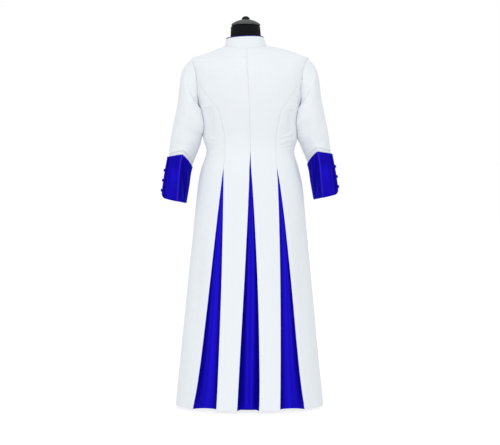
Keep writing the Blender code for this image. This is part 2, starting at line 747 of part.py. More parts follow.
WHITE_CLOTH = ("white_cloth", (0.80, 0.83, 0.88), 0.75)
BLUE_SATIN = ("blue_satin", (0.012, 0.004, 0.40), 0.42)
BLACK_JERSEY = ("black_jersey", (0.012, 0.012, 0.012), 0.90)
BLACK_PLASTIC = ("black_plastic", (0.045, 0.045, 0.045), 0.45)
BLACK_STEEL = ("black_steel", (0.03, 0.03, 0.03), 0.40, 0.6)


def own(kind, node):
    """A material of a kind for one node alone."""
    return material(f"{kind[0]}_{node}", *kind[1:])


def gown():
    for side, word in ((1, "right"), (-1, "left")):
        name = f"front_{word}"
        panel(name, PANEL_PLACES, front_angles, side, own(WHITE_CLOTH, name), closure_lift(side))
        name = f"back_{word}"
        panel(name, PANEL_PLACES, centre_back_angles, side, own(WHITE_CLOTH, name))
        name = f"side_back_{word}"
        places = [place for place in PANEL_PLACES if place <= MID_ARMHOLE]
        panel(name, places, side_back_angles, side, own(WHITE_CLOTH, name))
        name = f"insert_{word}"
        insert(name, side, SIDE_APEX, own(BLUE_SATIN, name))
        name = f"sleeve_{word}"
        sleeve(name, side, own(WHITE_CLOTH, name))
        name = f"cuff_{word}"
        cuff(name, side, own(BLUE_SATIN, name))
        drop = LEFT_SLEEVE_DROP if side < 0 else 0.0
        for number, height in enumerate(CUFF_BUTTONS, 1):
            name = f"cuff_button_{word}_{number}"
            seat, normal = cuff_seat(side, height - drop)
            button(name, seat, normal, CUFF_BUTTON, own(BLUE_SATIN, name))
    insert("insert_centre", 0, CENTRE_APEX, own(BLUE_SATIN, "insert_centre"))
    collar("collar_stand", own(WHITE_CLOTH, "collar_stand"))
    piping("collar_piping", own(BLUE_SATIN, "collar_piping"))
    for number in range(FRONT_BUTTONS):
        name = f"front_button_{number + 1:02d}"
        seat, normal = front_seat(FRONT_BUTTON_TOP - FRONT_BUTTON_STEP * number)
        button(name, seat, normal, FRONT_BUTTON, own(BLUE_SATIN, name))


def dress_form():
    torso("form_torso", own(BLACK_JERSEY, "form_torso"))
    turned_solid("form_cap", CAP, CAP_X, CAP_FLATNESS, own(BLACK_PLASTIC, "form_cap"))
    turned_solid("form_knob", KNOB, KNOB_X, 1.0, own(BLACK_PLASTIC, "form_knob"))
    foot, head = BASE[-1][0] + SEAM_GAP, height_of(FORM_PLACES[0]) - SEAM_GAP
    pole = ((foot, POLE), (head, POLE))
    turned_solid("stand_pole", pole, 0.0, 1.0, own(BLACK_STEEL, "stand_pole"))
    turned_solid("stand_base", BASE, 0.0, 1.0, own(BLACK_STEEL, "stand_base"))


for leftover in list(bpy.data.objects):
    bpy.data.objects.remove(leftover)
gown()
dress_form()
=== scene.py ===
"""A floor-length white cassock, filled out on a limbless black dress form and seen from behind.

Each panel is a thin sheet of cloth with its edges turned under, so seams, pleat edges and hems are
real folds. Three blue inserts hang in valleys between the back panels, the sleeves end in lapped
blue cuffs, and a piped collar stands round the neck. The wearer's back faces -Y. Lengths are in
metres.
"""
import math
from collections import namedtuple
from functools import lru_cache

import bpy
import numpy as np
from mathutils import Matrix, Vector, noise


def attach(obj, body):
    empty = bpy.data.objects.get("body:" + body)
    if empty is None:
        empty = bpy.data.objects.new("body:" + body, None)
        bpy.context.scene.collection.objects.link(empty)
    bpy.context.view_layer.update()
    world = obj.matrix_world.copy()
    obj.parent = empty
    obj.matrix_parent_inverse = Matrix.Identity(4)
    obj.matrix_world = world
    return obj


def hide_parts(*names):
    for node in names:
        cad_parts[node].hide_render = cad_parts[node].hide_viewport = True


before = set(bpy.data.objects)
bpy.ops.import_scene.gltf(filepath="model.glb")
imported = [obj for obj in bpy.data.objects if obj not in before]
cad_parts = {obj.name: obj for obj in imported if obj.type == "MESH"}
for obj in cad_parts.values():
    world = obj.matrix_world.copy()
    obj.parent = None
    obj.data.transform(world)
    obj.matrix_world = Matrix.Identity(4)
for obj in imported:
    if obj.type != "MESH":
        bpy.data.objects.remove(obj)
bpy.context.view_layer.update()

# View: the photo's width in pixels, and what a pixel spans at the middle of the garment
PHOTO_WIDE, PIXEL = 500, 0.004
CAMERA_X, CAMERA_AWAY, CAMERA_Z = 0.002, 4.7, 0.728
SENSOR = 36.0

Lamp = namedtuple("Lamp", "name toward strength softness")
LAMPS = (
    Lamp("key", (0.60, 1.0, -0.20), 0.62, 30.0),
    Lamp("fill", (-0.60, 1.0, -0.16), 0.52, 30.0),
    Lamp("top", (0.0, 0.10, -1.0), 0.12, 60.0),
)
BACKDROP = 1.0                # brightness of the white backdrop
ROOM_LIGHT = (0.78, 0.92)     # soft light from below, and from above
ROOM_TINT = (0.96, 0.98, 1.0, 1)
FLOOR_SIZE = 600.0
FLOOR_GLOW = 0.80             # the pale floor is lit from below, as a light table is
FLOOR_TONES = (0.26, 0.26, 0.26), (0.28, 0.28, 0.28)

# Cloth
SHEET = 0.0009                # one layer of white or blue cloth
STIFF = 0.0018                # the collar and the cuffs, which are lined with canvas
CLOTH = 0.002                 # a layer with its turned edge behind it
COLLAR_CLOTH = 0.003
CUFF_CLOTH = 0.0025
SEAM_GAP = 0.0001
ARMHOLE_GAP = 0.0001
COLLAR_GAP = -0.0004
LAYER_GAP = 0.0006
CUFF_GAP = 0.0014
LAP_LIFT = 0.0025
CUFF_LAP_LIFT = 0.003

# A turned edge: distance from the edge and depth below the face, from the raw edge inside to the face
TURN = ((0.0090, 0.0021), (0.0045, 0.0021), (0.0008, 0.0021), (0.0002, 0.0018), (0.0, 0.0010),
        (0.0001, 0.0003), (0.0003, 0.0), (0.0040, 0.0))
HEM_TURN = ((0.0300, 0.0021), (0.0200, 0.0021), (0.0100, 0.0021), (0.0040, 0.0021)) + TURN[2:] + (
    (0.0090, 0.0), (0.0160, 0.0), (0.0240, 0.0))
NECK_TURN = TURN[:0:-1]
BLUNT = ((0.0, 0.0012), (0.0005, 0.0004), (0.0014, 0.0), (0.0040, 0.0))     # a stiff piece's edge
SEWN = ((0.0, 0.0008), (0.0001, 0.0003), (0.0004, 0.0), (0.0040, 0.0))      # and where it is sewn on
TURN_WIDE = 0.030             # a panel narrower than this has its turned edges narrowed too
MEET = 0.00001                # points nearer than this are one
SIDES = ((1, "right"), (-1, "left"))

# Sections of the gown's outer face. Height is that of the side; the back and the front may dip.
Section = namedtuple("Section", "height half_width back front back_drop front_drop roundness lean")
BODY = (
    Section(0.009, 0.292, 0.240, 0.235, -0.002, 0, 2.4, 0),            # 0 hem
    Section(0.250, 0.269, 0.214, 0.212, 0, 0, 2.3, 0),                 # 1
    Section(0.500, 0.246, 0.189, 0.190, 0, 0, 2.2, 0.001),             # 2 knee
    Section(0.720, 0.224, 0.166, 0.170, 0, 0, 2.2, 0.002),             # 3
    Section(0.862, 0.210, 0.151, 0.156, 0, 0, 2.2, 0.003),             # 4 hip
    Section(0.942, 0.195, 0.135, 0.146, 0, 0, 2.2, 0.002),             # 5 top of the side inserts
    Section(1.008, 0.1755, 0.112, 0.134, 0, 0, 2.2, 0.0035),           # 6 waist, top of the centre insert
    Section(1.060, 0.187, 0.110, 0.132, 0, 0, 2.3, 0.003),             # 7
    Section(1.112, 0.193, 0.118, 0.136, 0, 0, 2.5, 0.002),             # 8
    Section(1.165, 0.199, 0.127, 0.139, 0, 0, 2.7, 0.001),             # 9 foot of the armhole
    Section(1.215, 0.208, 0.131, 0.138, 0, 0, 2.8, 0),                 # 10
    Section(1.270, 0.218, 0.129, 0.132, 0, 0, 2.8, 0),                 # 11 chest
    Section(1.320, 0.228, 0.122, 0.120, 0.003, 0.010, 2.7, 0),         # 12
    Section(1.358, 0.236, 0.114, 0.107, 0.013, 0.023, 2.6, 0),         # 13
    Section(1.385, 0.230, 0.104, 0.092, 0.019, 0.037, 2.5, 0.003),     # 14 point of the shoulder
    Section(1.397, 0.198, 0.096, 0.083, 0.019, 0.042, 2.4, 0.006),     # 15
    Section(1.410, 0.165, 0.087, 0.075, 0.020, 0.047, 2.3, 0.008),     # 16
    Section(1.423, 0.126, 0.079, 0.069, 0.021, 0.051, 2.2, 0.004),     # 17
    Section(1.436, 0.0815, 0.071, 0.064, 0.021, 0.053, 2.1, -0.0145),  # 18 neckline
)
HEM, CENTRE_APEX, SIDE_APEX, UNDERARM, SHOULDER, NECKLINE = 0, 6, 5, 9, 14, 18
# The back's seams and inserts sway a little to the right and back: place, and turn in degrees
SWAY = ((0, -1.2), (1, 0.45), (2, 1.4), (3, 1.4), (4, 0.70), (6, 0.30), (7, 0.0), (9, 0.0), (10, -0.7),
        (11, -1.8), (12, -3.3), (13, -5.0), (14, -7.2), (15, -9.6), (16, -11.9), (17, -10.2), (18, 3.0))
SWAY_FADE = 4                 # how sharply the sway dies out at the sides
DROP_CURVE = 1.5
SLOPE_REACH = 0.3
BODY_STEP = 0.2               # degrees to each side, between which the gown's way is read
WIDEST_SHARE = 0.999          # of a half width: a point further out counts as lying there
NECK_ANGLE = 60               # where the rows of the neck's turned edge are spaced
TINY = 1e-12
SIDE, FRONT = 90.0, 180.0
ARMHOLE_BACK, ARMHOLE_FRONT = 17.5, 16.5

# Seam between the centre back and the side back, above the side insert: place, distance from middle
PRINCESS = ((5, 0.104), (6, 0.100), (7, 0.101), (8, 0.108), (9, 0.122), (9.48, 0.138),
            (10.03, 0.160), (10.73, 0.186))
PRINCESS_TIP = 0.0016         # width of the side back where its seam meets the armhole
MID_ARMHOLE = (UNDERARM + SHOULDER) / 2

# Blue inserts: width at the hem, and how width and depth grow from the apex down
CENTRE_HALF, CENTRE_CURVE, CENTRE_GROWTH = 0.0418, 1.4, 1.08
SIDE_SHIFT, SHIFT_GROWTH = 0.0175, 0.80
SIDE_WIDTH, SIDE_GROWTH = 0.083, 0.86
SIDE_FLARE, FLARE_GROWTH = 0.013, 10       # the side inserts open more just above the hem
INSERT_DEPTH, DEPTH_GROWTH = 0.044, 1.2
INSERT_MARGIN = 0.010
INSERT_LEAST_HALF = 0.003
Fold = namedtuple("Fold", "across depth")
VALLEY = (Fold(-1, 0), Fold(-0.90, 0.42), Fold(-0.68, 0.78), Fold(-0.36, 0.96), Fold(0, 1),
          Fold(0.36, 0.96), Fold(0.68, 0.78), Fold(0.90, 0.42), Fold(1, 0))
VALLEY_STEPS = 5              # columns between two rows of the table
INSERT_SHARES = (0.0, 0.35, 0.7)      # where the columns of an insert's hidden margins lie

# Front closure: distances from the middle of the front
CLOSURE_PLAIN, CLOSURE_PLAIN_SHARE = 0.060, 0.5
CLOSURE_FOLD, CLOSURE_STRIP, CLOSURE_EDGE = 0.022, 0.003, 0.018
FRONT_BUTTONS, FRONT_BUTTON_TOP, FRONT_BUTTON_STEP = 13, 1.335, 0.070
FRONT_BUTTON = 0.0070         # radius

# Sections of the right sleeve: its outer and inner edge, seen from behind, and its depth. Its turn
# is how far the outer edge lies behind the middle, and the inner edge before it.
Ring = namedtuple("Ring", "outer_x outer_z inner_x inner_z centre_y half_depth back_drop crease turn")
SLEEVE = (
    Ring(0.262, 1.352, 0.2045, 1.153, -0.002, 0.068, 0, 0, 0),
    Ring(0.274, 1.318, 0.2020, 1.143, -0.003, 0.070, 0, 0, 0),
    Ring(0.281, 1.275, 0.1995, 1.132, -0.004, 0.071, 0, 0, 0),
    Ring(0.288, 1.215, 0.1985, 1.116, -0.004, 0.071, 0, 0, 0),
    Ring(0.302, 1.150, 0.1970, 1.094, -0.003, 0.069, 0.001, 0, 0),
    Ring(0.315, 1.085, 0.1950, 1.064, 0.000, 0.066, 0.002, 0, 0.001),
    Ring(0.3225, 1.035, 0.2080, 1.028, 0.006, 0.062, 0.004, 0.0010, 0.004),
    Ring(0.3255, 1.003, 0.2270, 0.985, 0.012, 0.057, 0.005, 0.0030, 0.010),
    Ring(0.3305, 0.975, 0.2410, 0.944, 0.017, 0.049, 0.006, 0.0050, 0.017),
    Ring(0.3395, 0.925, 0.2495, 0.893, 0.024, 0.048, 0.007, 0.0070, 0.026),
    Ring(0.3470, 0.875, 0.2585, 0.846, 0.032, 0.047, 0.007, 0.0080, 0.030),
    Ring(0.3500, 0.840, 0.2635, 0.822, 0.036, 0.047, 0.001, 0.0080, 0.031),
)
WRIST = len(SLEEVE)
LEFT_SLEEVE_DROP, LEFT_SLEEVE_SHIFT = 0.015, 0.004
# The sleeve's back is pressed into a ridge with a flat face to each side: ring, and the ridge's angle
# or how flat a face is
BACK_SEAM = 90.0              # angle of the sleeve's back seam, from its outer side
RIDGE = ((6, 90), (8, 92), (12, 106))
FLAT_OUTER = ((6, 0.0), (8.5, 0.60), (12, 0.78))
FLAT_INNER = ((6, 0.0), (8.5, 0.80), (12, 0.88))
# The fold of the sleeve just above the cuff: how far above, by rings, its width and its depth. It is
# weakest at the front, and the cloth above it swells.
CUFF_FOLD_AWAY, CUFF_FOLD_WIDE, CUFF_FOLD_DEEP, CUFF_FOLD_LEAST = 0.30, 0.065, 0.0042, 0.35
SWELL_AWAY, SWELL_WIDE, SWELL_SHARE = 0.16, 0.09, 0.5
SLEEVE_SEAM_DEEP, SLEEVE_SEAM_WIDE = 0.0009, 1.2      # under the arm, its width in degrees
# How far each sleeve would bulge into the gown's side, by ring, and over what angle. There it lies
# flat against the gown, which is read between two sections.
REST = {
    1: ((0, 0.0), (0.2, 0.0100), (0.5, 0.0220), (1, 0.0300), (1.6, 0.0340), (4.2, 0.0340),
        (5, 0.0180), (5.6, 0.0095), (6, 0.0040), (6.4, 0.0)),
    -1: ((0, 0.0), (0.2, 0.0100), (0.5, 0.0220), (1, 0.0310), (1.6, 0.0360), (4.2, 0.0360),
         (5, 0.0200), (5.33, 0.0085), (5.6, 0.0020), (6, 0.0)),
}
REST_SPREAD = ((0, 38.0), (0.5, 44.0), (1.6, 75.0))
REST_GAP = 0.0002
REST_PLACES, REST_STEPS = (6, 11), 60
SEAM_TO_SLEEVE = 1.2          # rings over which the folds turn from the gown's way to the sleeve's
FOLDS_WHOLE = 0.4             # the ring from which the sleeve's folds have their whole height
FIRST_REACH = 0.1             # share of the first ring over which its length is read
LEAST_UNIT = 0.012            # the shortest ring taken for one when the seam's edge is laid out
SLEEVE_STEP, RING_STEP = 4, 0.05      # degrees and rings to each side, between which its way is read

# Cuffs: the ring at which the top edge lies, by angle round the sleeve from its outer side
CUFF_TOP = ((0, 8.0), (90, 7.45), (180, 8.5), (270, 8.3), (360, 8.0))
CUFF_LAP = 12.0
CUFF_RAMP = (324.0, 348.0)
CUFF_CORNER, CUFF_CORNER_SPREAD = 0.50, 21.0
CUFF_BUTTONS = (0.952, 0.912, 0.872)
CUFF_BUTTON = 0.0065          # radius
CUFF_LONG, CUFF_ROUND = 0.165, 0.315          # length along the arm, and round it
CUFF_BUTTON_AROUND = 360.0
# Creases of a cuff: angle round the arm and share of its length, at both ends, width and height
Bend = namedtuple("Bend", "around0 share0 around1 share1 width height")
CUFF_BENDS = (
    Bend(90, -0.05, 90, 1.05, 0.0030, 0.0016),
    Bend(104, 0.02, 150, 0.80, 0.0080, -0.0038),
    Bend(124, 0.00, 154, 0.46, 0.0075, 0.0030),
    Bend(60, 0.10, 66, 0.80, 0.0120, -0.0012),
    Bend(30, 0.20, 36, 0.90, 0.0100, -0.0010),
    Bend(232, 0.05, 214, 0.75, 0.0080, -0.0016),
    Bend(290, 0.10, 300, 0.85, 0.0110, -0.0014),
)
RIDGE_COLUMNS = (0.8, 1.6, 2.6, 4.0)      # degrees from the pressed ridge
RIDGE_CLEAR = 5.0             # no other column lies nearer to it

# Collar and its piping
Edge = namedtuple("Edge", "half_width back front side_height front_height lean")
COLLAR_TOP = Edge(0.0755, 0.066, 0.060, 1.463, 1.425, -0.0185)
COLLAR_TILT = 0.045           # rise of its top edge for each metre towards the wearer's right
PIPING, CORD_RADIUS = 0.0022, 0.0018
COLLAR_HIGH = 0.047
COLLAR_ARC = 60               # degrees round the neck that are as long as the collar is high
COLLAR_BOW = 0.0008
PIPING_POINTS = 180

# Round pieces: how far each step of a top or a foot is drawn in, and how far it rises
Step = namedtuple("Step", "inset rise")
BUTTON_CROWN = (Step(0.06, 0.0007), Step(0.12, 0.0011), Step(0.22, 0.0011), Step(0.26, 0.0005))
BUTTON_FOOT = (Step(0.08, 0.0005), Step(0.14, 0.0004))
BUTTON_LOW, BUTTON_HIGH, BUTTON_SIDES = 0.0012, 0.0018, 24
SEAT_STEPS, SEAT_HALVINGS = 20, 30        # how closely a button's seat is looked for

# Dress form
FORM_EASE = ((3.56, 0.022), (6, 0.012), (9, 0.010), (13, 0.008), (14, 0.003), (15, 0.00045),
             (18, 0.00045))
FORM_FOOT = 3.56
NECK_ROUNDNESS = 2.1
NECK = (
    Section(1.4370, 0.0670, 0.056, 0.050, 0.021, 0.053, NECK_ROUNDNESS, -0.0130),
    Section(1.4480, 0.0620, 0.052, 0.047, 0.014, 0.034, NECK_ROUNDNESS, -0.0140),
    Section(1.4700, 0.0610, 0.051, 0.048, 0.004, 0.010, NECK_ROUNDNESS, -0.0150),
    Section(1.5097, 0.0585, 0.050, 0.047, 0, 0, NECK_ROUNDNESS, -0.0160),
)
CAP_LOW, CAP_RADIUS, CAP_FLATNESS, CAP_X = 1.5100, 0.0586, 0.85, -0.0145
CAP_CROWN = (Step(0.0016, 0.0012), Step(0.0062, 0.0048), Step(0.0105, 0.0060), Step(0.0130, 0.0048),
             Step(0.0105, 0.0022), Step(0.0060, 0.0002))
KNOB_LOW, KNOB_RADIUS, KNOB_X = 1.5398, 0.0160, -0.0150
KNOB_CROWN = (Step(0.0006, 0.0026), Step(0.0026, 0.0034), Step(0.0050, 0.0032), Step(0.0040, 0.0012))
KNOB_FOOT = (Step(0.0020, 0.0006),)
BASE_RADIUS, BASE_HIGH = 0.1400, 0.0030
BASE_CROWN = (Step(0.0060, 0.0015), Step(0.0840, 0.0030), Step(0.0240, 0.0125), Step(0.0040, 0.0040))
POLE = 0.0125
CAP_RIM, KNOB_DISC = 0.0100, (0.0006, 0.0030)        # heights of the discs that they start from
CAP_SIDES, KNOB_SIDES, BASE_SIDES, POLE_SIDES = 72, 48, 96, 48
STEEL_EDGE, STEEL_CORNER = 0.0006, 20.0   # width of a rounded edge, and the least turn it takes
SHARP = 50.0                  # an edge that turns by more degrees stays crisp

# Stitches: each is a small eight-sided bead
STITCH_LONG, STITCH_PITCH, STITCH_WIDE, STITCH_HIGH = 0.0026, 0.0034, 0.0005, 0.00035
STITCH_FACES = ((0, 2, 4), (0, 4, 3), (0, 3, 5), (0, 5, 2), (1, 4, 2), (1, 3, 4), (1, 5, 3), (1, 2, 5))

# Fineness of the sheets
ROW_STEP = 0.008              # between rows of the skirt
FINE_STEP, FINE_PLACE = 0.003, 5      # between rows above the hip, where the cloth drags at the waist
ARMHOLE_ROWS, YOKE_ROWS = 64, 8
BACK_COLUMNS, SIDE_BACK_COLUMNS, FRONT_COLUMNS = 40, 44, 66
SLEEVE_COLUMNS = 144
SLEEVE_END = 9.5              # the ring at which the sleeve ends, inside its cuff
# Rows for each ring of the sleeve, down to a place; they are finest at the fold above the cuff
SLEEVE_RING_ROWS = ((7.0, 12), (8.4, 26), (SLEEVE_END, 7))
CUFF_COLUMNS, CUFF_ROWS = 96, 34
COLLAR_COLUMNS, COLLAR_ROWS = 150, 12
TORSO_COLUMNS, TORSO_ROWS, NECK_ROWS = 96, 4, 6

# Creases, in millimetres: the ends of a line on the back or the front, seen from behind, across and
# up, its width, and its height or depth
MILLIMETRES = 1000            # in a metre
BACK_CREASES = (
    # Left armpit
    (-215, 1253, -207, 1230, 4.2, -3),
    (-221, 1216, -214, 1200, 3.6, -2.8),
    (-211, 1211, -215, 1185, 3.8, -2.6),
    (-208, 1185, -201, 1132, 4, -1),
    (-211, 1216, -212, 1193, 4.5, 2.4),
    (-206, 1245, -201, 1220, 6, 1.8),
    (-244, 1279, -220, 1227, 8, -3),
    (-234, 1282, -214, 1248, 7, 1.8),
    (-233, 1150, -252, 1020, 18, -4.5),
    (-166, 1180, -156, 1060, 20, -6),
    (-122, 1185, -119, 1095, 8, -1.2),
    (-134, 1175, -130, 1110, 7, 1),
    # Right armpit
    (209, 1274, 198, 1237, 4.2, -3.4),
    (193, 1221, 199, 1205, 3.6, -2),
    (214, 1223, 205, 1194, 3.8, -3),
    (205, 1221, 204, 1201, 4.2, 2.4),
    (198.5, 1190, 200, 1169, 3.6, -0.8),
    (193, 1168, 186, 1126, 4.2, -0.8),
    (233, 1278, 220, 1213, 7.5, -3.2),
    (222, 1278, 212, 1233, 6.5, 1.8),
    (252, 1170, 264, 1076, 15, 3),
    (224, 1128, 233, 1025, 16, -4),
    (168, 1170, 164, 1075, 19, -6.5),
    # Drags that fan out from the right side of the waist
    (167, 1077, 174, 1062, 5.5, -6),
    (170, 1085, 129, 1070, 4.2, -2.6),
    (164, 1065, 119, 1052, 4.2, -3),
    (162, 1043, 117, 1028, 4, -2.8),
    (158, 1029, 118, 1016, 3.8, -2.4),
    (166, 1075, 124, 1061, 4.2, 2),
    (162, 1055, 120, 1041, 4.2, 2),
    (160, 1036, 121, 1022, 3.8, 1.6),
    # Fainter ones at the left side of the waist
    (-166, 1072, -130, 1061, 5, -1.3),
    (-164, 1054, -127, 1045, 5, -1.3),
    (-162, 1037, -133, 1029, 4.5, -1),
    # Hip and skirt
    (183, 978, 202, 896, 4.5, -3.6),
    (192, 980, 209, 898, 5, 1.8),
    (-190, 680, -214, 400, 22, -5),
    (196, 720, 222, 380, 22, -5),
    (-220, 330, -242, 50, 26, 3.5),
    (220, 300, 240, 40, 26, 3.5),
    # Shoulder blades and the slope to the armholes
    (-150, 1300, -156, 1190, 30, -4),
    (154, 1300, 160, 1190, 28, -3.5),
    (-70, 1330, -82, 1200, 40, 3),
    (70, 1330, 82, 1200, 40, 3),
    (-219, 1364, -185, 1356, 12, -1),
    (219, 1364, 185, 1356, 12, -1),
    # Elbows
    (-290, 1080, -255, 1068, 7, -1.8),
    (-298, 1045, -260, 1030, 7, -1.8),
    (294, 1095, 260, 1082, 7, -1.6),
    (304, 1055, 268, 1038, 7, -1.8),
    (-230, 1040, -210, 1025, 6, -2.2),
    (228, 1043, 208, 1026, 6, -2.2),
)
FRONT_CREASES = (
    # Armpits
    (-213, 1256, -202, 1224, 4.5, -3.2),
    (-219, 1218, -211, 1196, 4, -3),
    (-201, 1213, -208, 1184, 4.2, -3.6),
    (-242, 1276, -221, 1221, 8, -2.8),
    (210, 1260, 199, 1230, 4.5, -3),
    (216, 1220, 208, 1193, 4, -3.2),
    (198, 1217, 206, 1190, 4.2, -3.4),
    (238, 1279, 218, 1219, 8, -2.8),
    (-174, 1170, -150, 1070, 18, -4),
    (172, 1165, 152, 1065, 18, -4),
    # Drags at the waist
    (-166, 1070, -122, 1056, 5, -1.6),
    (-164, 1050, -126, 1040, 4.8, -1.5),
    (167, 1076, 123, 1060, 5, -1.7),
    (165, 1057, 124, 1042, 4.8, -1.8),
    (162, 1038, 129, 1027, 4.5, -1.3),
    # Bends of the elbows, which fold more at the front
    (-212, 1076, -272, 1096, 7, -3.4),
    (-213, 1052, -288, 1060, 7.5, -4),
    (-218, 1028, -290, 1018, 7, -3.4),
    (-214, 1065, -274, 1078, 7, 2.2),
    (211, 1080, 270, 1102, 7, -3.4),
    (212, 1056, 290, 1066, 7.5, -4),
    (217, 1032, 288, 1024, 7, -3.4),
    (213, 1069, 276, 1083, 7, 2.2),
    # Chest and skirt
    (-150, 1290, -145, 1180, 28, -3.5),
    (148, 1285, 144, 1180, 28, -3.5),
    (-130, 860, -170, 260, 24, -5.5),
    (126, 870, 164, 230, 24, -5.5),
    (-195, 700, -230, 120, 24, 4.5),
    (192, 730, 226, 140, 24, 4.5),
    (-80, 550, -100, 30, 24, 4),
    (82, 520, 104, 30, 24, 4),
)
FACING = 0.25                 # how far a face has to turn to the back or front to take all its creases

# Flutes of the skirt: how many go round, the angle of the first, and their height at the hem
Flute = namedtuple("Flute", "count start height")
FLUTES = (Flute(7, 26.0, 0.0022), Flute(12, 75.0, 0.0016), Flute(19, 10.0, 0.0007))
FLUTE_TOP, FLUTE_GROWTH = 0.90, 1.4
UNEVEN = ((0.065, 0.0005), (0.022, 0.00018))  # size of the cloth's unevenness, and its height
# Ripples beside a seam: height, length, reach, and the sections over which they change
PUCKER, PUCKER_SIZE, PUCKER_REACH, PUCKER_RUN = 0.00045, 0.011, 0.006, 3
SEAM_SEEDS = (3.0, 11.0)

# Weave: pitch of its lines, their turn, and the size of its threads across and along
Finish = namedtuple("Finish", "low high rough pitch turn threads relief strength sheen sheen_rough "
                              "sheen_tint specular tint metallic")
WAVE_PERIOD = 0.314           # metres between two lines of a weave whose scale is 1
# A painted highlight along the cuff's pressed ridge, standing in for the satin's shine there: its colour
# and half its width
PAINTED_RIDGE_HIGHLIGHT, PAINTED_HIGHLIGHT_HALF = (0.050, 0.024, 0.80), 0.0045
# Size of a cloth's blotches and streaks, across and along, and how much each changes its tone
BLOTCHES, STREAKS = (9, 4, 1), (150, 2.5, 1)
WEAVE_SHARE, BLOTCH_SHARE, STREAK_SHARE = 0.55, 0.35, 0.35
TONES = (0.25, 0.70)          # where the darkest and the palest tone are reached
WHITE_TWILL = Finish((0.760, 0.786, 0.812), (0.799, 0.822, 0.842), (0.66, 0.80), 0.0009, 62.0,
                     (900, 220), 0.00022, 0.35, 0.25, 0.45, (0.95, 0.97, 1.0), 0.30, (1, 1, 1), 0.0)
BLUE_SATIN = Finish((0.0085, 0.0042, 0.39), (0.0115, 0.0052, 0.46), (0.36, 0.46), 0.0006, 80.0,
                    (1400, 90), 0.00012, 0.25, 0.10, 0.35, (0.05, 0.03, 1.0), 0.10, (0.2, 0.1, 1), 0.75)
BLACK_JERSEY = Finish((0.0050, 0.0052, 0.0056), (0.0075, 0.0077, 0.0082), (0.80, 0.92), 0.0012, 0.0,
                      (500, 160), 0.00030, 0.45, 0.04, 0.5, (1, 1, 1), 0.08, (1, 1, 1), 0.0)
# Hard pieces: how much broader their blotches are than their grain, and the height of the grain
GRAIN_BROADER, GRAIN_RELIEF = 18, 0.0002
# Numbers of the sockets that mix two colours
MIX_SHARE, MIX_FIRST, MIX_SECOND, MIX_MADE = 0, 6, 7, 2


# View and light

def linked(name, data):
    """A new object in the scene."""
    thing = bpy.data.objects.new(name, data)
    bpy.context.scene.collection.objects.link(thing)
    return thing


def camera():
    data = bpy.data.cameras.new("camera")
    data.sensor_width = SENSOR
    data.lens = SENSOR * CAMERA_AWAY / (PHOTO_WIDE * PIXEL)
    thing = linked("camera", data)
    thing.location = (CAMERA_X, -CAMERA_AWAY, CAMERA_Z)
    thing.rotation_euler = (math.radians(90), 0, 0)
    bpy.context.scene.camera = thing


def studio():
    """A white backdrop, soft light from all round, and three wide soft lamps."""
    scene = bpy.context.scene
    scene.view_settings.view_transform = "Standard"
    world = bpy.data.worlds.new("studio")
    world.use_nodes = True
    tree = world.node_tree
    way = put(tree, "ShaderNodeTexCoord").outputs["Generated"]
    rise = put(tree, "ShaderNodeSeparateXYZ", {0: way}).outputs["Z"]
    room = fill(tree, tree.nodes["Background"], {
        "Color": ROOM_TINT, "Strength": ranged(tree, rise, *ROOM_LIGHT, start=-1.0)})
    backdrop = put(tree, "ShaderNodeBackground", {"Color": (1, 1, 1, 1), "Strength": BACKDROP})
    seen = put(tree, "ShaderNodeLightPath").outputs["Is Camera Ray"]
    both = put(tree, "ShaderNodeMixShader", {0: seen, 1: room.outputs[0], 2: backdrop.outputs[0]})
    fill(tree, tree.nodes["World Output"], {"Surface": both.outputs[0]})
    scene.world = world
    for lamp in LAMPS:
        data = bpy.data.lights.new(lamp.name, "SUN")
        data.energy = lamp.strength
        data.angle = math.radians(lamp.softness)
        thing = linked(lamp.name, data)
        thing.rotation_euler = Vector(lamp.toward).to_track_quat("-Z", "Y").to_euler()


def floor():
    bpy.ops.mesh.primitive_plane_add(size=FLOOR_SIZE)
    plane = bpy.context.object
    plane.name = "floor"
    made, tree, shader = shader_of("pale_floor")
    fill(tree, shader, {
        "Base Color": ramp(tree, grain_of(tree, object_place(tree), 3.0, 4.0), *FLOOR_TONES),
        "Roughness": 1.0, "Specular IOR Level": 0.0, "Emission Color": (1, 1, 1, 1),
        "Emission Strength": FLOOR_GLOW})
    plane.data.materials.append(made)
    plane.visible_diffuse = plane.visible_glossy = False


# Finishes

def shader_of(name):
    made = bpy.data.materials.new(name)
    made.use_nodes = True
    return made, made.node_tree, made.node_tree.nodes["Principled BSDF"]


def fill(tree, node, inputs):
    """Gives inputs of a node their values, each a number, a colour or the socket to link."""
    for name, value in inputs.items():
        if isinstance(value, bpy.types.NodeSocket):
            tree.links.new(value, node.inputs[name])
        else:
            node.inputs[name].default_value = value
    return node


def put(tree, kind, inputs=None, **settings):
    """A new node."""
    made = tree.nodes.new(kind)
    for name, value in settings.items():
        setattr(made, name, value)
    return fill(tree, made, inputs or {})


def object_place(tree):
    return put(tree, "ShaderNodeTexCoord").outputs["Object"]


def cloth_place(tree, scale=(1, 1, 1), turn=0.0):
    """Metres along and across the cloth, from its own map."""
    place = put(tree, "ShaderNodeTexCoord").outputs["UV"]
    inputs = {"Vector": place, "Scale": scale, "Rotation": (0, 0, math.radians(turn))}
    return put(tree, "ShaderNodeMapping", inputs).outputs["Vector"]


def ramp(tree, share, low, high, start=0.3, end=0.7):
    made = put(tree, "ShaderNodeValToRGB", {"Fac": share})
    stops = made.color_ramp.elements
    stops[0].position, stops[1].position = start, end
    stops[0].color, stops[1].color = (*low, 1), (*high, 1)
    return made.outputs["Color"]


def ramp_between(tree, share, colour, other):
    """One colour turning into another as the share goes from 0 to 1."""
    inputs = {MIX_SHARE: share, MIX_FIRST: colour, MIX_SECOND: (*other, 1)}
    return put(tree, "ShaderNodeMix", inputs, data_type="RGBA").outputs[MIX_MADE]


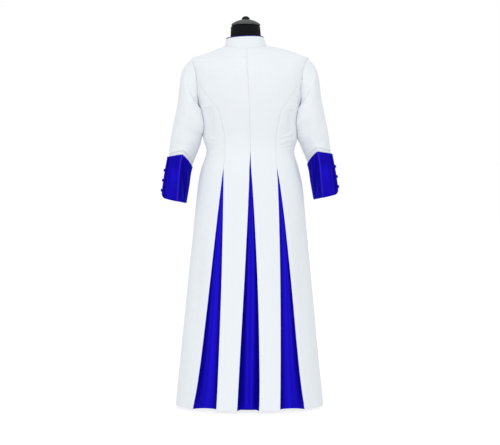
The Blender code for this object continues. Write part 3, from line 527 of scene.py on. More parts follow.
def mixed(tree, kind, first, second):
    """Two values worked into one."""
    return put(tree, "ShaderNodeMath", {0: first, 1: second}, operation=kind).outputs["Value"]


def ranged(tree, value, low, high, start=0.0, end=1.0):
    """The value from start to end spread between two numbers."""
    inputs = {"Value": value, "From Min": start, "From Max": end, "To Min": low, "To Max": high}
    return put(tree, "ShaderNodeMapRange", inputs).outputs["Result"]


def grain_of(tree, place, scale, detail, rough=0.5):
    inputs = {"Vector": place, "Scale": scale, "Detail": detail, "Roughness": rough}
    return put(tree, "ShaderNodeTexNoise", inputs).outputs["Fac"]


def bumped(tree, height, strength, relief):
    inputs = {"Height": height, "Strength": strength, "Distance": relief}
    return put(tree, "ShaderNodeBump", inputs).outputs["Normal"]


def woven(name, finish, line=None):
    """Cloth: raised weave lines and threads, perhaps with a painted highlight up the middle of its map.
    """
    made, tree, shader = shader_of(name)
    lines = put(tree, "ShaderNodeTexWave", {
        "Vector": cloth_place(tree, turn=finish.turn), "Scale": WAVE_PERIOD / finish.pitch,
        "Distortion": 1.2, "Detail": 2.0, "Detail Scale": 0.4}, wave_type="BANDS").outputs["Fac"]
    threads = grain_of(tree, cloth_place(tree, (*finish.threads, 1)), 1.0, 3.0, 0.6)
    blotches = grain_of(tree, cloth_place(tree, BLOTCHES), 1.0, 5.0, 0.55)
    streaks = grain_of(tree, cloth_place(tree, STREAKS), 1.0, 3.0)
    surface = mixed(tree, "MULTIPLY", lines, threads)
    tone = mixed(tree, "MULTIPLY", surface, WEAVE_SHARE)
    for spots, share in ((blotches, BLOTCH_SHARE), (streaks, STREAK_SHARE)):
        tone = mixed(tree, "ADD", tone, mixed(tree, "MULTIPLY", spots, share))
    colour = ramp(tree, tone, finish.low, finish.high, *TONES)
    # Painted highlight: the given colour mixed into the base colour, fading out within a half width of
    # the map's middle
    if line:
        across = put(tree, "ShaderNodeSeparateXYZ", {"Vector": cloth_place(tree)}).outputs["X"]
        away = mixed(tree, "ABSOLUTE", across, 0.0)
        colour = ramp_between(tree, ranged(tree, away, 0.0, 1.0, PAINTED_HIGHLIGHT_HALF, 0.0), colour, line)
    fill(tree, shader, {
        "Base Color": colour, "Roughness": ranged(tree, threads, *finish.rough),
        "Normal": bumped(tree, surface, finish.strength, finish.relief),
        "Sheen Weight": finish.sheen, "Sheen Roughness": finish.sheen_rough,
        "Sheen Tint": (*finish.sheen_tint, 1), "Specular IOR Level": finish.specular,
        "Specular Tint": (*finish.tint, 1), "Metallic": finish.metallic})
    return made


def thread(name, low, high):
    """Sewing thread, twisted."""
    made, tree, shader = shader_of(name)
    inputs = {"Vector": object_place(tree), "Scale": 900.0, "Distortion": 0.5}
    twist = put(tree, "ShaderNodeTexWave", inputs, bands_direction="DIAGONAL").outputs["Fac"]
    fill(tree, shader, {"Base Color": ramp(tree, twist, low, high), "Roughness": 0.55,
                        "Specular IOR Level": 0.25})
    return made


def hard(name, low, high, rough, grain, strength, metallic=0.0, specular=0.5):
    """Moulded plastic or enamelled steel, with the fine grain of its surface."""
    made, tree, shader = shader_of(name)
    fine = grain_of(tree, object_place(tree), grain, 4.0)
    broad = grain_of(tree, object_place(tree), grain / GRAIN_BROADER, 5.0)
    fill(tree, shader, {
        "Base Color": ramp(tree, broad, low, high), "Roughness": ranged(tree, broad, *rough),
        "Normal": bumped(tree, fine, strength, GRAIN_RELIEF), "Metallic": metallic,
        "Specular IOR Level": specular})
    return made


# Smooth tables and the gown's surface

def clamped(share):
    return max(0.0, min(1.0, share))


def smooth(share):
    share = clamped(share)
    return share * share * (3 - 2 * share)


def hump(away, wide):
    """How much of its height a rounded ridge keeps at a distance from its middle."""
    return math.exp(-(away / wide) ** 2)


def along(table, place):
    """The row of a table at a place counted from its first row, read on a smooth curve."""
    last = len(table) - 1
    start = max(0, min(int(place), last - 1))
    share = place - start
    before, here, there, after = (table[max(0, min(last, start + step))] for step in (-1, 0, 1, 2))
    row = []
    for a, b, c, d in zip(before, here, there, after):
        bend = 2 * a - 5 * b + 4 * c - d
        twist = 3 * b - 3 * c + d - a
        row.append(0.5 * (2 * b + (c - a) * share + bend * share ** 2 + twist * share ** 3))
    return row


def straight(table, key):
    """The value beside a key in a table of pairs, read on straight lines."""
    for (low, low_value), (high, high_value) in zip(table, table[1:]):
        if key <= high:
            share = max(0.0, (key - low) / (high - low))
            return low_value + (high_value - low_value) * share
    return table[-1][1]


def curved(table, key):
    """The value beside a key in a table of pairs, read on a smooth curve."""
    keys = [row[0] for row in table]
    step = max(0, min(int(np.searchsorted(keys, key)) - 1, len(table) - 2))
    (low, start), (high, end) = table[step], table[step + 1]
    slopes = []
    for here in (step, step + 1):
        before, after = table[max(0, here - 1)], table[min(len(table) - 1, here + 1)]
        slopes.append((after[1] - before[1]) / (after[0] - before[0]) * (high - low))
    share = clamped((key - low) / (high - low))
    swing = share * (1 - share) ** 2 * slopes[0] - share ** 2 * (1 - share) * slopes[1]
    return start + (end - start) * smooth(share) + swing


@lru_cache(maxsize=None)
def section(place):
    return Section(*along(BODY, place))


def section_point(row, angle):
    """A point on a section, at an angle from the centre back towards +X."""
    turn = math.radians(angle)
    side, ahead = math.sin(turn), -math.cos(turn)
    depth, drop = (row.front, row.front_drop) if ahead > 0 else (row.back, row.back_drop)
    rim = (abs(side) / row.half_width) ** row.roundness + (abs(ahead) / depth) ** row.roundness
    reach = rim ** (-1 / row.roundness)
    dip = drop * (reach * abs(ahead) / depth) ** DROP_CURVE
    return Vector((row.lean + reach * side, reach * ahead, row.height - dip))


def swayed(angle, place):
    """The angle with the sway of the back's lines, which dies out towards the sides."""
    turn = math.radians(angle)
    if math.cos(turn) <= 0:
        return angle
    return angle + curved(SWAY, place) * (1 - math.sin(turn) ** SWAY_FADE)


def body_point(angle, place):
    return section_point(section(place), swayed(angle, place))


def body_slope(angle, place):
    low, high = max(HEM, place - SLOPE_REACH), min(NECKLINE, place + SLOPE_REACH)
    return (body_point(angle, high) - body_point(angle, low)).normalized()


def body_normal(angle, place):
    across = body_point(angle + BODY_STEP, place) - body_point(angle - BODY_STEP, place)
    return across.cross(body_slope(angle, place)).normalized()


def angle_at(across, place, ahead=False):
    """The angle of the point that lies a distance across from the middle of the back or front."""
    row = section(place)
    share = min(abs(across) / row.half_width, WIDEST_SHARE)
    depth = (row.front if ahead else row.back) * (1 - share ** row.roundness) ** (1 / row.roundness)
    angle = math.degrees(math.atan2(across, depth))
    return FRONT - angle if ahead else angle


def metres_a_degree(angle, place):
    return (body_point(angle + 0.5, place) - body_point(angle - 0.5, place)).length


def armhole_open(place):
    """How far the armhole is open at a place, from 0 at its foot to 1 and back to 0."""
    if not UNDERARM < place < SHOULDER:
        return 0.0
    share = 1 - 2 * (place - UNDERARM) / (SHOULDER - UNDERARM)
    return math.sqrt(1 - share * share)


def armhole_place(share):
    return UNDERARM + (SHOULDER - UNDERARM) * (1 - math.cos(math.pi * share)) / 2


# Edges of the panels, as angles

def turn_of(width, place):
    """The angle that a width spans on the gown's side."""
    return math.degrees(width / section(place).half_width)


def seam_half(place):
    return turn_of(SEAM_GAP / 2, place)


def fall(apex, place):
    """How far down an insert a place lies, from 0 at its apex to 1 at the hem."""
    top = BODY[apex].height
    return max(0.0, (top - section(place).height) / (top - BODY[HEM].height))


def centre_insert_half(place):
    down = fall(CENTRE_APEX, place)
    return CENTRE_HALF * (1 - (1 - down) ** CENTRE_CURVE) ** CENTRE_GROWTH


def side_insert_edges(place):
    down = fall(SIDE_APEX, place)
    near = PRINCESS[0][1] + SIDE_SHIFT * down ** SHIFT_GROWTH
    wide = SIDE_WIDTH * down ** SIDE_GROWTH + SIDE_FLARE * down ** FLARE_GROWTH
    return near, near + wide


def back_side_edge(place):
    return SIDE - max(ARMHOLE_BACK * armhole_open(place), seam_half(place))


def front_side_edge(place):
    return SIDE + max(ARMHOLE_FRONT * armhole_open(place), seam_half(place))


@lru_cache(maxsize=None)
def princess_line():
    """The seam's table, with its end at the armhole."""
    edge = back_side_edge(MID_ARMHOLE) - turn_of(PRINCESS_TIP, MID_ARMHOLE)
    end = body_point(edge, MID_ARMHOLE).x - section(MID_ARMHOLE).lean
    return PRINCESS + ((MID_ARMHOLE, end),)


def princess_edges(place):
    half = SEAM_GAP / 2
    if place < SIDE_APEX:
        near, far = side_insert_edges(place)
        return angle_at(near, place), angle_at(far, place)
    if place < MID_ARMHOLE:
        across = curved(princess_line(), place)
        return angle_at(across - half, place), angle_at(across + half, place)
    edge = back_side_edge(place) - turn_of(PRINCESS_TIP, place)
    return edge - 2 * seam_half(place), edge


def centre_back_edges(place):
    near = angle_at(max(centre_insert_half(place), SEAM_GAP / 2), place)
    far = princess_edges(place)[0] if place <= MID_ARMHOLE else back_side_edge(place)
    return near, far


def side_back_edges(place):
    return princess_edges(place)[1], back_side_edge(place)


def front_edges(place):
    return front_side_edge(place), angle_at(-CLOSURE_EDGE, place, True)


def lap_height(point, place, side):
    """How far the lapped left front lies above the gown's surface."""
    if side > 0:
        return 0.0
    row = section(place)
    plain = min(CLOSURE_PLAIN, CLOSURE_PLAIN_SHARE * row.half_width)
    across = (point.x - row.lean) * side
    if point.y < 0:
        return 0.0
    return LAP_LIFT * smooth((plain - across) / (plain - CLOSURE_FOLD))


# Folds of the cloth

def relief(points, normals, skirt=False):
    """How far the creases, flutes and unevenness raise each point along its normal."""
    total = np.zeros(len(points))
    spots = points[:, (0, 2)]
    for creases, sign in ((BACK_CREASES, -1), (FRONT_CREASES, 1)):
        turned = np.clip(normals[:, 1] * sign / FACING, 0, 1)
        weight = turned * turned * (3 - 2 * turned)
        for crease in creases:
            x0, z0, x1, z1, width, height = (value / MILLIMETRES for value in crease)
            start = np.array((x0, z0))
            way = np.array((x1, z1)) - start
            share = np.clip((spots - start) @ way / (way @ way), 0, 1)
            away = np.linalg.norm(spots - start - share[:, None] * way, axis=1)
            taper = np.sqrt(4 * share * (1 - share))
            total += weight * height * taper * np.exp(-(away / width) ** 2)
    if skirt:
        down = np.clip(1 - points[:, 2] / FLUTE_TOP, 0, 1) ** FLUTE_GROWTH
        turn = np.degrees(np.arctan2(points[:, 0], -points[:, 1]))
        for flute in FLUTES:
            total += down * flute.height * np.cos(np.radians(flute.count * (turn - flute.start)))
    for size, height in UNEVEN:
        total += height * np.array([noise.noise(Vector(point) / size) for point in points])
    return total


Spot = namedtuple("Spot", "point way")         # a point, and the way in which the folds move it


def raised(spots, skirt=False):
    """Rows of points from rows of spots, with the folds."""
    flat = [spot for row in spots for spot in row]
    points = np.array([tuple(spot.point) for spot in flat])
    ways = np.array([tuple(spot.way) for spot in flat])
    moved = points + ways * relief(points, ways, skirt)[:, None]
    return moved.reshape(len(spots), -1, 3)


def grid_normals(grid):
    across, up = np.gradient(grid, axis=1), np.gradient(grid, axis=0)
    normals = np.cross(across, up)
    return normals / np.maximum(np.linalg.norm(normals, axis=2, keepdims=True), TINY)


# Making pieces

def deselect():
    if bpy.context.object and bpy.context.object.mode != "OBJECT":
        bpy.ops.object.mode_set(mode="OBJECT")
    bpy.ops.object.select_all(action="DESELECT")


def pick(piece):
    """Selects a piece alone."""
    deselect()
    piece.select_set(True)
    bpy.context.view_layer.objects.active = piece


def apply_modifier(piece, name, kind, **settings):
    """Gives a piece a modifier and makes its result the mesh."""
    made = piece.modifiers.new(name, kind)
    for setting, value in settings.items():
        setattr(made, setting, value)
    pick(piece)
    bpy.ops.object.modifier_apply(modifier=made.name)


def smooth_shade():
    """Shades the piece smoothly, but for its sharp edges."""
    bpy.ops.object.shade_smooth_by_angle(angle=math.radians(SHARP))


def close_up(filled=False):
    """Joins the points of the piece that meet, and perhaps closes its open ends."""
    bpy.ops.object.mode_set(mode="EDIT")
    bpy.ops.mesh.select_all(action="SELECT")
    bpy.ops.mesh.remove_doubles(threshold=MEET)
    if filled:
        bpy.ops.mesh.fill_holes(sides=0)
    bpy.ops.object.mode_set(mode="OBJECT")


def finish_piece(piece, made, nodes):
    """Gives a piece its material and its place among the part's pieces."""
    piece.data.materials.clear()
    piece.data.materials.append(made)
    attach(piece, "root")
    if nodes:
        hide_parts(*nodes)


def lengths(grid, axis):
    """Distance along each row or column from its first point."""
    steps = np.linalg.norm(np.diff(grid, axis=axis), axis=2)
    shape = list(grid.shape[:2])
    shape[axis] = 1
    return np.concatenate((np.zeros(shape), np.cumsum(steps, axis=axis)), axis=axis)


def grid_piece(name, grid, across, up):
    """A piece whose points are those of the grid, with a map in metres."""
    rows, columns = grid.shape[:2]
    deselect()
    bpy.ops.mesh.primitive_grid_add(x_subdivisions=columns - 1, y_subdivisions=rows - 1)
    piece = bpy.context.object
    piece.name = piece.data.name = name
    mesh = piece.data
    mesh.vertices.foreach_set("co", grid.astype(np.float32).ravel())
    corners = np.empty(len(mesh.loops), dtype=np.int32)
    mesh.loops.foreach_get("vertex_index", corners)
    places = np.stack((across.ravel(), up.ravel()), axis=1)[corners]
    mesh.uv_layers[0].data.foreach_set("uv", places.astype(np.float32).ravel())
    mesh.update()
    return piece


def cloth(name, grid, made, thick=SHEET, closed=False,
          middle=None):
    """A sheet whose rows run up, each from left to right as seen from outside it."""
    across = lengths(grid, 1)
    middle = grid.shape[1] // 2 if middle is None else middle
    across -= across[:, middle][:, None]
    up = np.broadcast_to(lengths(grid, 0)[:, middle][:, None], across.shape)
    piece = grid_piece(name, grid, across, up)
    if closed:
        close_up()
    bpy.ops.object.shade_smooth()
    apply_modifier(piece, "cloth", "SOLIDIFY", thickness=thick, offset=-1)
    finish_piece(piece, made, [name])


def steps_between(start, end, count):
    return [start + (end - start) * step / count for step in range(count + 1)]


# Panels of the gown

def hem_rows():
    """Places and depths of the rows of a hem, from inside its turned edge to its face."""
    rise = BODY[1].height - BODY[HEM].height
    return [(height / rise, depth) for height, depth in HEM_TURN]


def skirt_places():
    places = []
    for low in range(HEM, UNDERARM):
        step = ROW_STEP if low < FINE_PLACE else FINE_STEP
        count = round((BODY[low + 1].height - BODY[low].height) / step)
        places += [low + number / count for number in range(count)]
    last = hem_rows()[-1][0]
    return [place for place in places if place > last]


def neck_rows():
    unit = (body_point(NECK_ANGLE, NECKLINE) - body_point(NECK_ANGLE, NECKLINE - 1)).length
    return [(NECKLINE - away / unit, depth) for away, depth in NECK_TURN]


def panel_rows():
    armhole = [armhole_place(step / ARMHOLE_ROWS) for step in range(ARMHOLE_ROWS)]
    yoke = steps_between(SHOULDER, NECKLINE, (NECKLINE - SHOULDER) * YOKE_ROWS)
    neck = neck_rows()
    plain = [place for place in skirt_places() + armhole + yoke if place < neck[0][0]]
    return hem_rows() + [(place, 0.0) for place in plain] + neck


def pucker(away, place, seed):
    """Faint ripples beside a seam, that die out away from it."""
    wave = noise.noise(Vector((section(place).height / PUCKER_SIZE, place / PUCKER_RUN, seed)))
    share = away / PUCKER_REACH
    return PUCKER * wave * share * math.exp(1 - share)


def panel_row(place, inset, edges, columns, side):
    """Spots across a panel at a place, with both edges turned under."""
    near, far = edges
    near_unit, far_unit = metres_a_degree(near, place), metres_a_degree(far, place)
    wide = (far - near) * (near_unit + far_unit) / 2
    squeeze = min(1.0, wide / TURN_WIDE)
    reach = TURN[-1][0] * squeeze
    inner = steps_between(near + reach / near_unit, far - reach / far_unit, columns)[1:-1]
    row = [(near + away * squeeze / near_unit, depth, away) for away, depth in TURN]
    row += [(angle, 0.0, min((angle - near) * near_unit, (far - angle) * far_unit)) for angle in inner]
    row += [(far - away * squeeze / far_unit, depth, away) for away, depth in reversed(TURN)]
    spots = []
    for angle, depth, away in row[::side]:
        point, normal = body_point(side * angle, place), body_normal(side * angle, place)
        seed = SEAM_SEEDS[angle < (near + far) / 2] + side
        height = lap_height(point, place, side) - max(depth, inset) + pucker(away, place, seed)
        spots.append(Spot(point + normal * height, normal))
    return spots


def panel(name, edges_of, columns, side, rows):
    spots = [panel_row(place, inset, edges_of(place), columns, side) for place, inset in rows]
    grid = raised(spots, skirt=True)
    cloth(name, grid, WHITE)
    return grid


# Inserts

def insert_frame(which, place):
    """The middle and the half width of an insert, and how deep its valley is."""
    if which == 0:
        middle, half = 0.0, centre_insert_half(place)
        down = fall(CENTRE_APEX, place)
    elif place < SIDE_APEX:
        near, far = side_insert_edges(place)
        middle, half = (near + far) / 2, (far - near) / 2
        down = fall(SIDE_APEX, place)
    else:
        middle, half, down = curved(princess_line(), place), 0.0, 0.0
    return middle, max(half, INSERT_LEAST_HALF), INSERT_DEPTH * down ** DEPTH_GROWTH


def insert_spots(which, place, inset):
    middle, half, depth = insert_frame(which, place)
    side = -1 if which < 0 else 1
    count = (len(VALLEY) - 1) * VALLEY_STEPS
    folds = [(middle - half - INSERT_MARGIN * (1 - share), 0) for share in INSERT_SHARES]
    for step in range(count + 1):
        fold = Fold(*along(VALLEY, step / VALLEY_STEPS))
        folds.append((middle + half * fold.across, depth * fold.depth))
    folds += [(middle + half + INSERT_MARGIN * (1 - share), 0)
              for share in reversed(INSERT_SHARES)]
    points, normals = [], []
    for across, down in folds[::side]:
        angle = side * angle_at(across, place)
        normal = body_normal(angle, place)
        level = Vector((normal.x, normal.y, 0)).normalized()
        points.append(body_point(angle, place) - normal * (CLOTH + LAYER_GAP) - level * down)
        normals.append(normal)
    slope = body_slope(angle_at(middle, place) * side, place)
    spots = []
    for step, (point, normal) in enumerate(zip(points, normals)):
        before, after = points[max(0, step - 1)], points[min(len(points) - 1, step + 1)]
        wall = (after - before).cross(slope).normalized()
        spots.append(Spot(point - wall * inset, normal))
    return spots


def insert(name, which, apex):
    rows = hem_rows() + [(place, 0.0) for place in skirt_places() if place < apex + 1]
    grid = raised([insert_spots(which, place, inset) for place, inset in rows], skirt=True)
    cloth(name, grid, BLUE)


# Sleeves and cuffs

def armhole_edge(side, around):
    """A point of the armhole's edge, its normal, and the way into the opening."""
    turn = math.radians(around)
    place = UNDERARM + (SHOULDER - UNDERARM) * (1 + math.cos(turn)) / 2
    opening = ARMHOLE_BACK if math.sin(turn) > 0 else ARMHOLE_FRONT
    angle = side * (SIDE - opening * math.sin(turn))
    point, normal = body_point(angle, place), body_normal(angle, place)
    way = body_point(side * SIDE, MID_ARMHOLE) - point
    way -= normal * way.dot(normal)
    return point, normal, way.normalized()


def pressed(around, number):
    """How far out and back a point of a ring lies, with the back's two flat faces."""
    ridge = math.radians(straight(RIDGE, number))
    around = around % 360
    if around > 180:
        turn = math.radians(around)
        return math.cos(turn), math.sin(turn)
    corner = (math.cos(ridge), math.sin(ridge))
    if around < BACK_SEAM:
        start, end, flat = (1.0, 0.0), corner, straight(FLAT_OUTER, number)
        share = around / BACK_SEAM
        turn = ridge * share
    else:
        start, end, flat = corner, (-1.0, 0.0), straight(FLAT_INNER, number)
        share = around / BACK_SEAM - 1
        turn = ridge + (math.pi - ridge) * share
    out, back = (low + (high - low) * share for low, high in zip(start, end))
    return math.cos(turn) * (1 - flat) + out * flat, math.sin(turn) * (1 - flat) + back * flat


@lru_cache(maxsize=None)
def ring_point(side, around, number):
    if number == 0:
        point, normal, way = armhole_edge(side, around)
        return point + way * ARMHOLE_GAP
    ring = SLEEVE[number - 1]
    out, back = pressed(around, number)
    x = (ring.outer_x + ring.inner_x) / 2 + (ring.outer_x - ring.inner_x) / 2 * out
    z = (ring.outer_z + ring.inner_z) / 2 + (ring.outer_z - ring.inner_z) / 2 * out
    away = abs((around - BACK_SEAM + 180) % 360 - 180)
    y = ring.centre_y - ring.half_depth * back - ring.crease * max(0.0, 1 - away / BACK_SEAM)
    y -= ring.turn * out
    z -= ring.back_drop * max(0.0, back)
    if side < 0:
        z -= LEFT_SLEEVE_DROP * math.sqrt(number / WRIST)
        x -= LEFT_SLEEVE_SHIFT * number / WRIST
    return Vector((side * x, y, z))


def sleeve_point(side, around, place):
    start = max(0, min(int(place), WRIST - 1))
    numbers = [max(0, min(WRIST, start + step)) for step in (-1, 0, 1, 2)]
    rings = [ring_point(side, around, number) for number in numbers]
    if start == 0:
        return Vector(along(rings[1:], place))
    return Vector(along(rings, 1 + place - start))


def sleeve_normal(side, around, place):
    across = (sleeve_point(side, around + SLEEVE_STEP, place)
              - sleeve_point(side, around - SLEEVE_STEP, place))
    low, high = max(0, place - RING_STEP), min(WRIST, place + RING_STEP)
    down = sleeve_point(side, around, high) - sleeve_point(side, around, low)
    return across.cross(down).normalized() * side


def sleeve_height(side, around, place):
    """The fold above the cuff, the bulge against the body and the seam under the arm."""
    away = place - (cuff_top(around) - CUFF_FOLD_AWAY)
    strong = CUFF_FOLD_LEAST + (1 - CUFF_FOLD_LEAST) * max(0.0, math.sin(math.radians(around)))
    fold = SWELL_SHARE * hump(away + SWELL_AWAY, SWELL_WIDE) - hump(away, CUFF_FOLD_WIDE)
    inner = abs(around % 360 - 180)
    bulge = straight(REST[side], place) * hump(inner, straight(REST_SPREAD, place))
    seam = SLEEVE_SEAM_DEEP * hump(inner, SLEEVE_SEAM_WIDE)
    return CUFF_FOLD_DEEP * strong * fold + bulge - seam


def sleeve_spot(side, around, place, height):
    normal = sleeve_normal(side, around, place)
    own = smooth(place / SEAM_TO_SLEEVE)
    way = (armhole_edge(side, around)[1] * (1 - own) + normal * own).normalized()
    return Spot(sleeve_point(side, around, place) + normal * height, way)


def off_gown(grid, side):
    """Moves the points of a sleeve that would lie inside the gown's side out onto it."""
    rows = np.array([tuple(section(place)) for place in steps_between(*REST_PLACES, REST_STEPS)])
    high = rows[:, 0]
    keys = [np.interp(grid[..., 2], high, rows[:, column]) for column in (1, 2, 3, 6, 7)]
    half, back, front, roundness, lean = keys
    deep = np.where(grid[..., 1] < 0, back, front)
    share = np.clip(np.abs(grid[..., 1]) / deep, 0, WIDEST_SHARE)
    least = side * lean + half * (1 - share ** roundness) ** (1 / roundness) + REST_GAP
    beside = (grid[..., 2] > high[0]) & (grid[..., 2] < high[-1])
    out = side * grid[..., 0]
    grid[..., 0] = side * np.where(beside, np.maximum(out, least), out)
    return grid


def sleeve_places():
    places, start = [], 0.0
    for end, rows in SLEEVE_RING_ROWS:
        places += steps_between(start, end, round((end - start) * rows))[1:]
        start = end
    return places


def sleeve(name, side):
    arounds = [360 / SLEEVE_COLUMNS * step - 90 for step in range(SLEEVE_COLUMNS + 1)][::-side]
    arounds = [around % 360 for around in arounds]
    spots = []
    for away, depth in TURN[:-1]:
        row = []
        for around in arounds:
            reach = sleeve_point(side, around, FIRST_REACH) - sleeve_point(side, around, 0)
            unit = max(reach.length / FIRST_REACH, LEAST_UNIT)
            row.append(sleeve_spot(side, around, away / unit, -depth))
        spots.append(row)
    for place in sleeve_places():
        near = place / max(place, FOLDS_WHOLE)
        spots.append([sleeve_spot(side, around, place, sleeve_height(side, around, place) * near)
                      for around in arounds])
    grid = raised(spots[::-1])
    grid[:-len(TURN)] = off_gown(grid[:-len(TURN)], side)
    cloth(name, grid, WHITE, closed=True)


def cuff_bottom(around):
    away = abs((around + 180) % 360 - 180)
    return WRIST - CUFF_CORNER * hump(away, CUFF_CORNER_SPREAD)


def cuff_top(around):
    return straight(CUFF_TOP, around % 360)


def cuff_lift(around):
    start, end = CUFF_RAMP
    return CUFF_LAP_LIFT * clamped((around - start) / (end - start))


def cuff_height(around, share):
    height = 0.0
    for bend in CUFF_BENDS:
        start = Vector((bend.around0 / 360 * CUFF_ROUND, bend.share0 * CUFF_LONG))
        way = Vector((bend.around1 / 360 * CUFF_ROUND, bend.share1 * CUFF_LONG)) - start
        spot = Vector((around / 360 * CUFF_ROUND, share * CUFF_LONG)) - start
        near = clamped(spot.dot(way) / way.length_squared)
        away = (spot - way * near).length
        height += bend.height * math.sqrt(4 * near * (1 - near)) * hump(away, bend.width)
    return height


def cuff_spot(side, around, share):
    """A point of the cuff's outer face and its normal, with the cuff's creases."""
    top, bottom = cuff_top(around), cuff_bottom(around)
    place = top + (bottom - top) * share
    normal = sleeve_normal(side, around, place)
    out = CUFF_GAP + cuff_lift(around) + CUFF_CLOTH + cuff_height(around, share)
    return sleeve_point(side, around, place) + normal * out, normal


def blunt_ends(length, edge=BLUNT):
    """Shares along a stiff piece of that length, and depths, with its edges rounded off."""
    return [(away / length, depth) for away, depth in edge]


def stiff_lines(start, end, low, high, count):
    """Places along a stiff piece and their depths, from its low edge to its high one."""
    low = [(start + away, depth) for away, depth in low]
    high = [(end - away, depth) for away, depth in reversed(high)]
    plain = steps_between(low[-1][0], high[0][0], count)[1:-1]
    return low + [(place, 0.0) for place in plain] + high


def stiff_columns(start, end, turn, length, count):
    """Angles round a stiff piece and their depths, where a turn is as long as the length."""
    ends = [(share * turn, depth) for share, depth in blunt_ends(length)]
    return stiff_lines(start, end, ends, ends, count)


def cuff(name, side):
    columns = stiff_columns(-CUFF_LAP, 360 + CUFF_LAP, 360, CUFF_ROUND, CUFF_COLUMNS)
    columns = [column for column in columns if abs(column[0] - BACK_SEAM) > RIDGE_CLEAR]
    columns += [(BACK_SEAM + sign * away, 0.0) for away in RIDGE_COLUMNS for sign in (-1, 1)]
    columns = sorted(columns + [(BACK_SEAM, 0.0)])[::-side]
    ends = blunt_ends(CUFF_LONG)
    rows = []
    for share, inset in stiff_lines(0, 1, ends, ends, CUFF_ROWS):
        row = []
        for around, depth in columns:
            point, normal = cuff_spot(side, around, share)
            row.append(tuple(point - normal * max(inset, depth)))
        rows.append(row)
    grid = np.array(rows[::-1])
    # The map's middle is the pressed ridge, which carries the painted highlight
    cloth(name, grid, BLUE_WITH_PAINTED_HIGHLIGHT, thick=STIFF,
          middle=columns.index((BACK_SEAM, 0.0)))
    return grid


# Collar and piping

def collar_top_point(angle):
    edge = COLLAR_TOP
    front_drop = edge.side_height - edge.front_height
    row = Section(edge.side_height, edge.half_width, edge.back, edge.front, 0, front_drop,
                  NECK_ROUNDNESS, edge.lean)
    point = section_point(row, angle)
    point.z += COLLAR_TILT * (point.x - edge.lean)
    return point


def collar_spot(angle, share):
    foot = body_point(angle, NECKLINE) + body_slope(angle, NECKLINE) * COLLAR_GAP
    return foot.lerp(collar_top_point(angle), share)


def collar_normal(angle, share):
    across = collar_spot(angle + 1, share) - collar_spot(angle - 1, share)
    return across.cross(collar_spot(angle, 1) - collar_spot(angle, 0)).normalized()


def collar_end():
    return angle_at(CLOSURE_STRIP, NECKLINE, True)


def collar(name):
    end = collar_end()
    columns = stiff_columns(-end, end, COLLAR_ARC, COLLAR_HIGH, COLLAR_COLUMNS)
    foot, top = blunt_ends(COLLAR_HIGH, SEWN), blunt_ends(COLLAR_HIGH)
    spots = []
    for share, inset in stiff_lines(0, 1, foot, top, COLLAR_ROWS):
        row = []
        for angle, depth in columns:
            height = COLLAR_BOW * math.sin(math.pi * share) - max(inset, depth)
            normal = collar_normal(angle, share)
            row.append(Spot(collar_spot(angle, share) + normal * height, normal))
        spots.append(row)
    grid = raised(spots)
    cloth(name, grid, WHITE, thick=STIFF)
    return grid


def piping(name):
    """A covered cord along the middle of the collar's top edge."""
    curve = bpy.data.curves.new(name, "CURVE")
    curve.dimensions = "3D"
    curve.bevel_depth = CORD_RADIUS
    curve.bevel_resolution = 4
    curve.use_fill_caps = True
    spline = curve.splines.new("POLY")
    angles = steps_between(-collar_end(), collar_end(), PIPING_POINTS)
    spline.points.add(len(angles) - 1)
    for knot, angle in zip(spline.points, angles):
        normal = collar_normal(angle, 1)
        rise = normal.cross(collar_top_point(angle + 1) - collar_top_point(angle - 1)).normalized()
        spot = collar_top_point(angle) - normal * COLLAR_CLOTH / 2
        knot.co = (*(spot + rise * (PIPING + SEAM_GAP)), 1)
    pick(linked(name, curve))
    bpy.ops.object.convert(target="MESH")
    piece = bpy.context.object
    bpy.ops.object.shade_smooth()
    finish_piece(piece, CORD, [name])


# Buttons and other round pieces

def top_face(highest):
    """Selects the highest or the lowest face of the piece in edit mode, alone."""
    bpy.ops.mesh.select_all(action="DESELECT")
    bpy.ops.object.mode_set(mode="OBJECT")
    faces = bpy.context.object.data.polygons
    chosen = max(faces, key=lambda face: face.center.z * (1 if highest else -1))
    chosen.select = True
    bpy.ops.object.mode_set(mode="EDIT")


def turned(name, radius, low, high, sides, crown, foot=(), smooth_levels=1):
    """A round piece from a disc whose top and foot are drawn in, step by step."""
    deselect()
    bpy.ops.mesh.primitive_cylinder_add(vertices=sides, radius=radius, depth=high - low,
                                        location=(0, 0, (low + high) / 2))
    piece = bpy.context.object
    piece.name = piece.data.name = name
    bpy.ops.object.transform_apply(location=True, rotation=True, scale=True)
    bpy.ops.object.mode_set(mode="EDIT")
    bpy.ops.mesh.select_mode(type="FACE")
    for steps, highest in ((crown, True), (foot, False)):
        for step in steps:
            top_face(highest)
            bpy.ops.mesh.inset(thickness=step.inset, depth=step.rise)
    bpy.ops.object.mode_set(mode="OBJECT")
    if smooth_levels:
        apply_modifier(piece, "rounded", "SUBSURF", levels=smooth_levels, render_levels=smooth_levels)
    smooth_shade()
    return piece


def button_model(radius):
    crown, foot = ([Step(step.inset * radius, step.rise) for step in steps]
                   for steps in (BUTTON_CROWN, BUTTON_FOOT))
    return turned("button_model", radius, BUTTON_LOW, BUTTON_HIGH, BUTTON_SIDES, crown, foot)


def button(name, model, seat, normal):
    mesh = model.data.copy()
    mesh.name = name
    turn = normal.to_track_quat("Z", "Y").to_matrix().to_4x4()
    mesh.transform(Matrix.Translation(seat) @ turn)
    finish_piece(linked(name, mesh), COVER, [name])


def front_seat(height):
    """The spot on the lapped front's middle at a height, and its direction."""
    places = steps_between(HEM, NECKLINE, SEAT_STEPS * NECKLINE)
    for low, high in zip(places, places[1:]):
        low_point, high_point = body_point(FRONT, low), body_point(FRONT, high)
        if low_point.z <= height <= high_point.z:
            place = low + (high - low) * (height - low_point.z) / (high_point.z - low_point.z)
            point, normal = body_point(FRONT, place), body_normal(FRONT, place)
            rise = relief(np.array([tuple(point)]), np.array([tuple(normal)]), skirt=True)[0]
            return point + normal * (LAP_LIFT + rise), normal


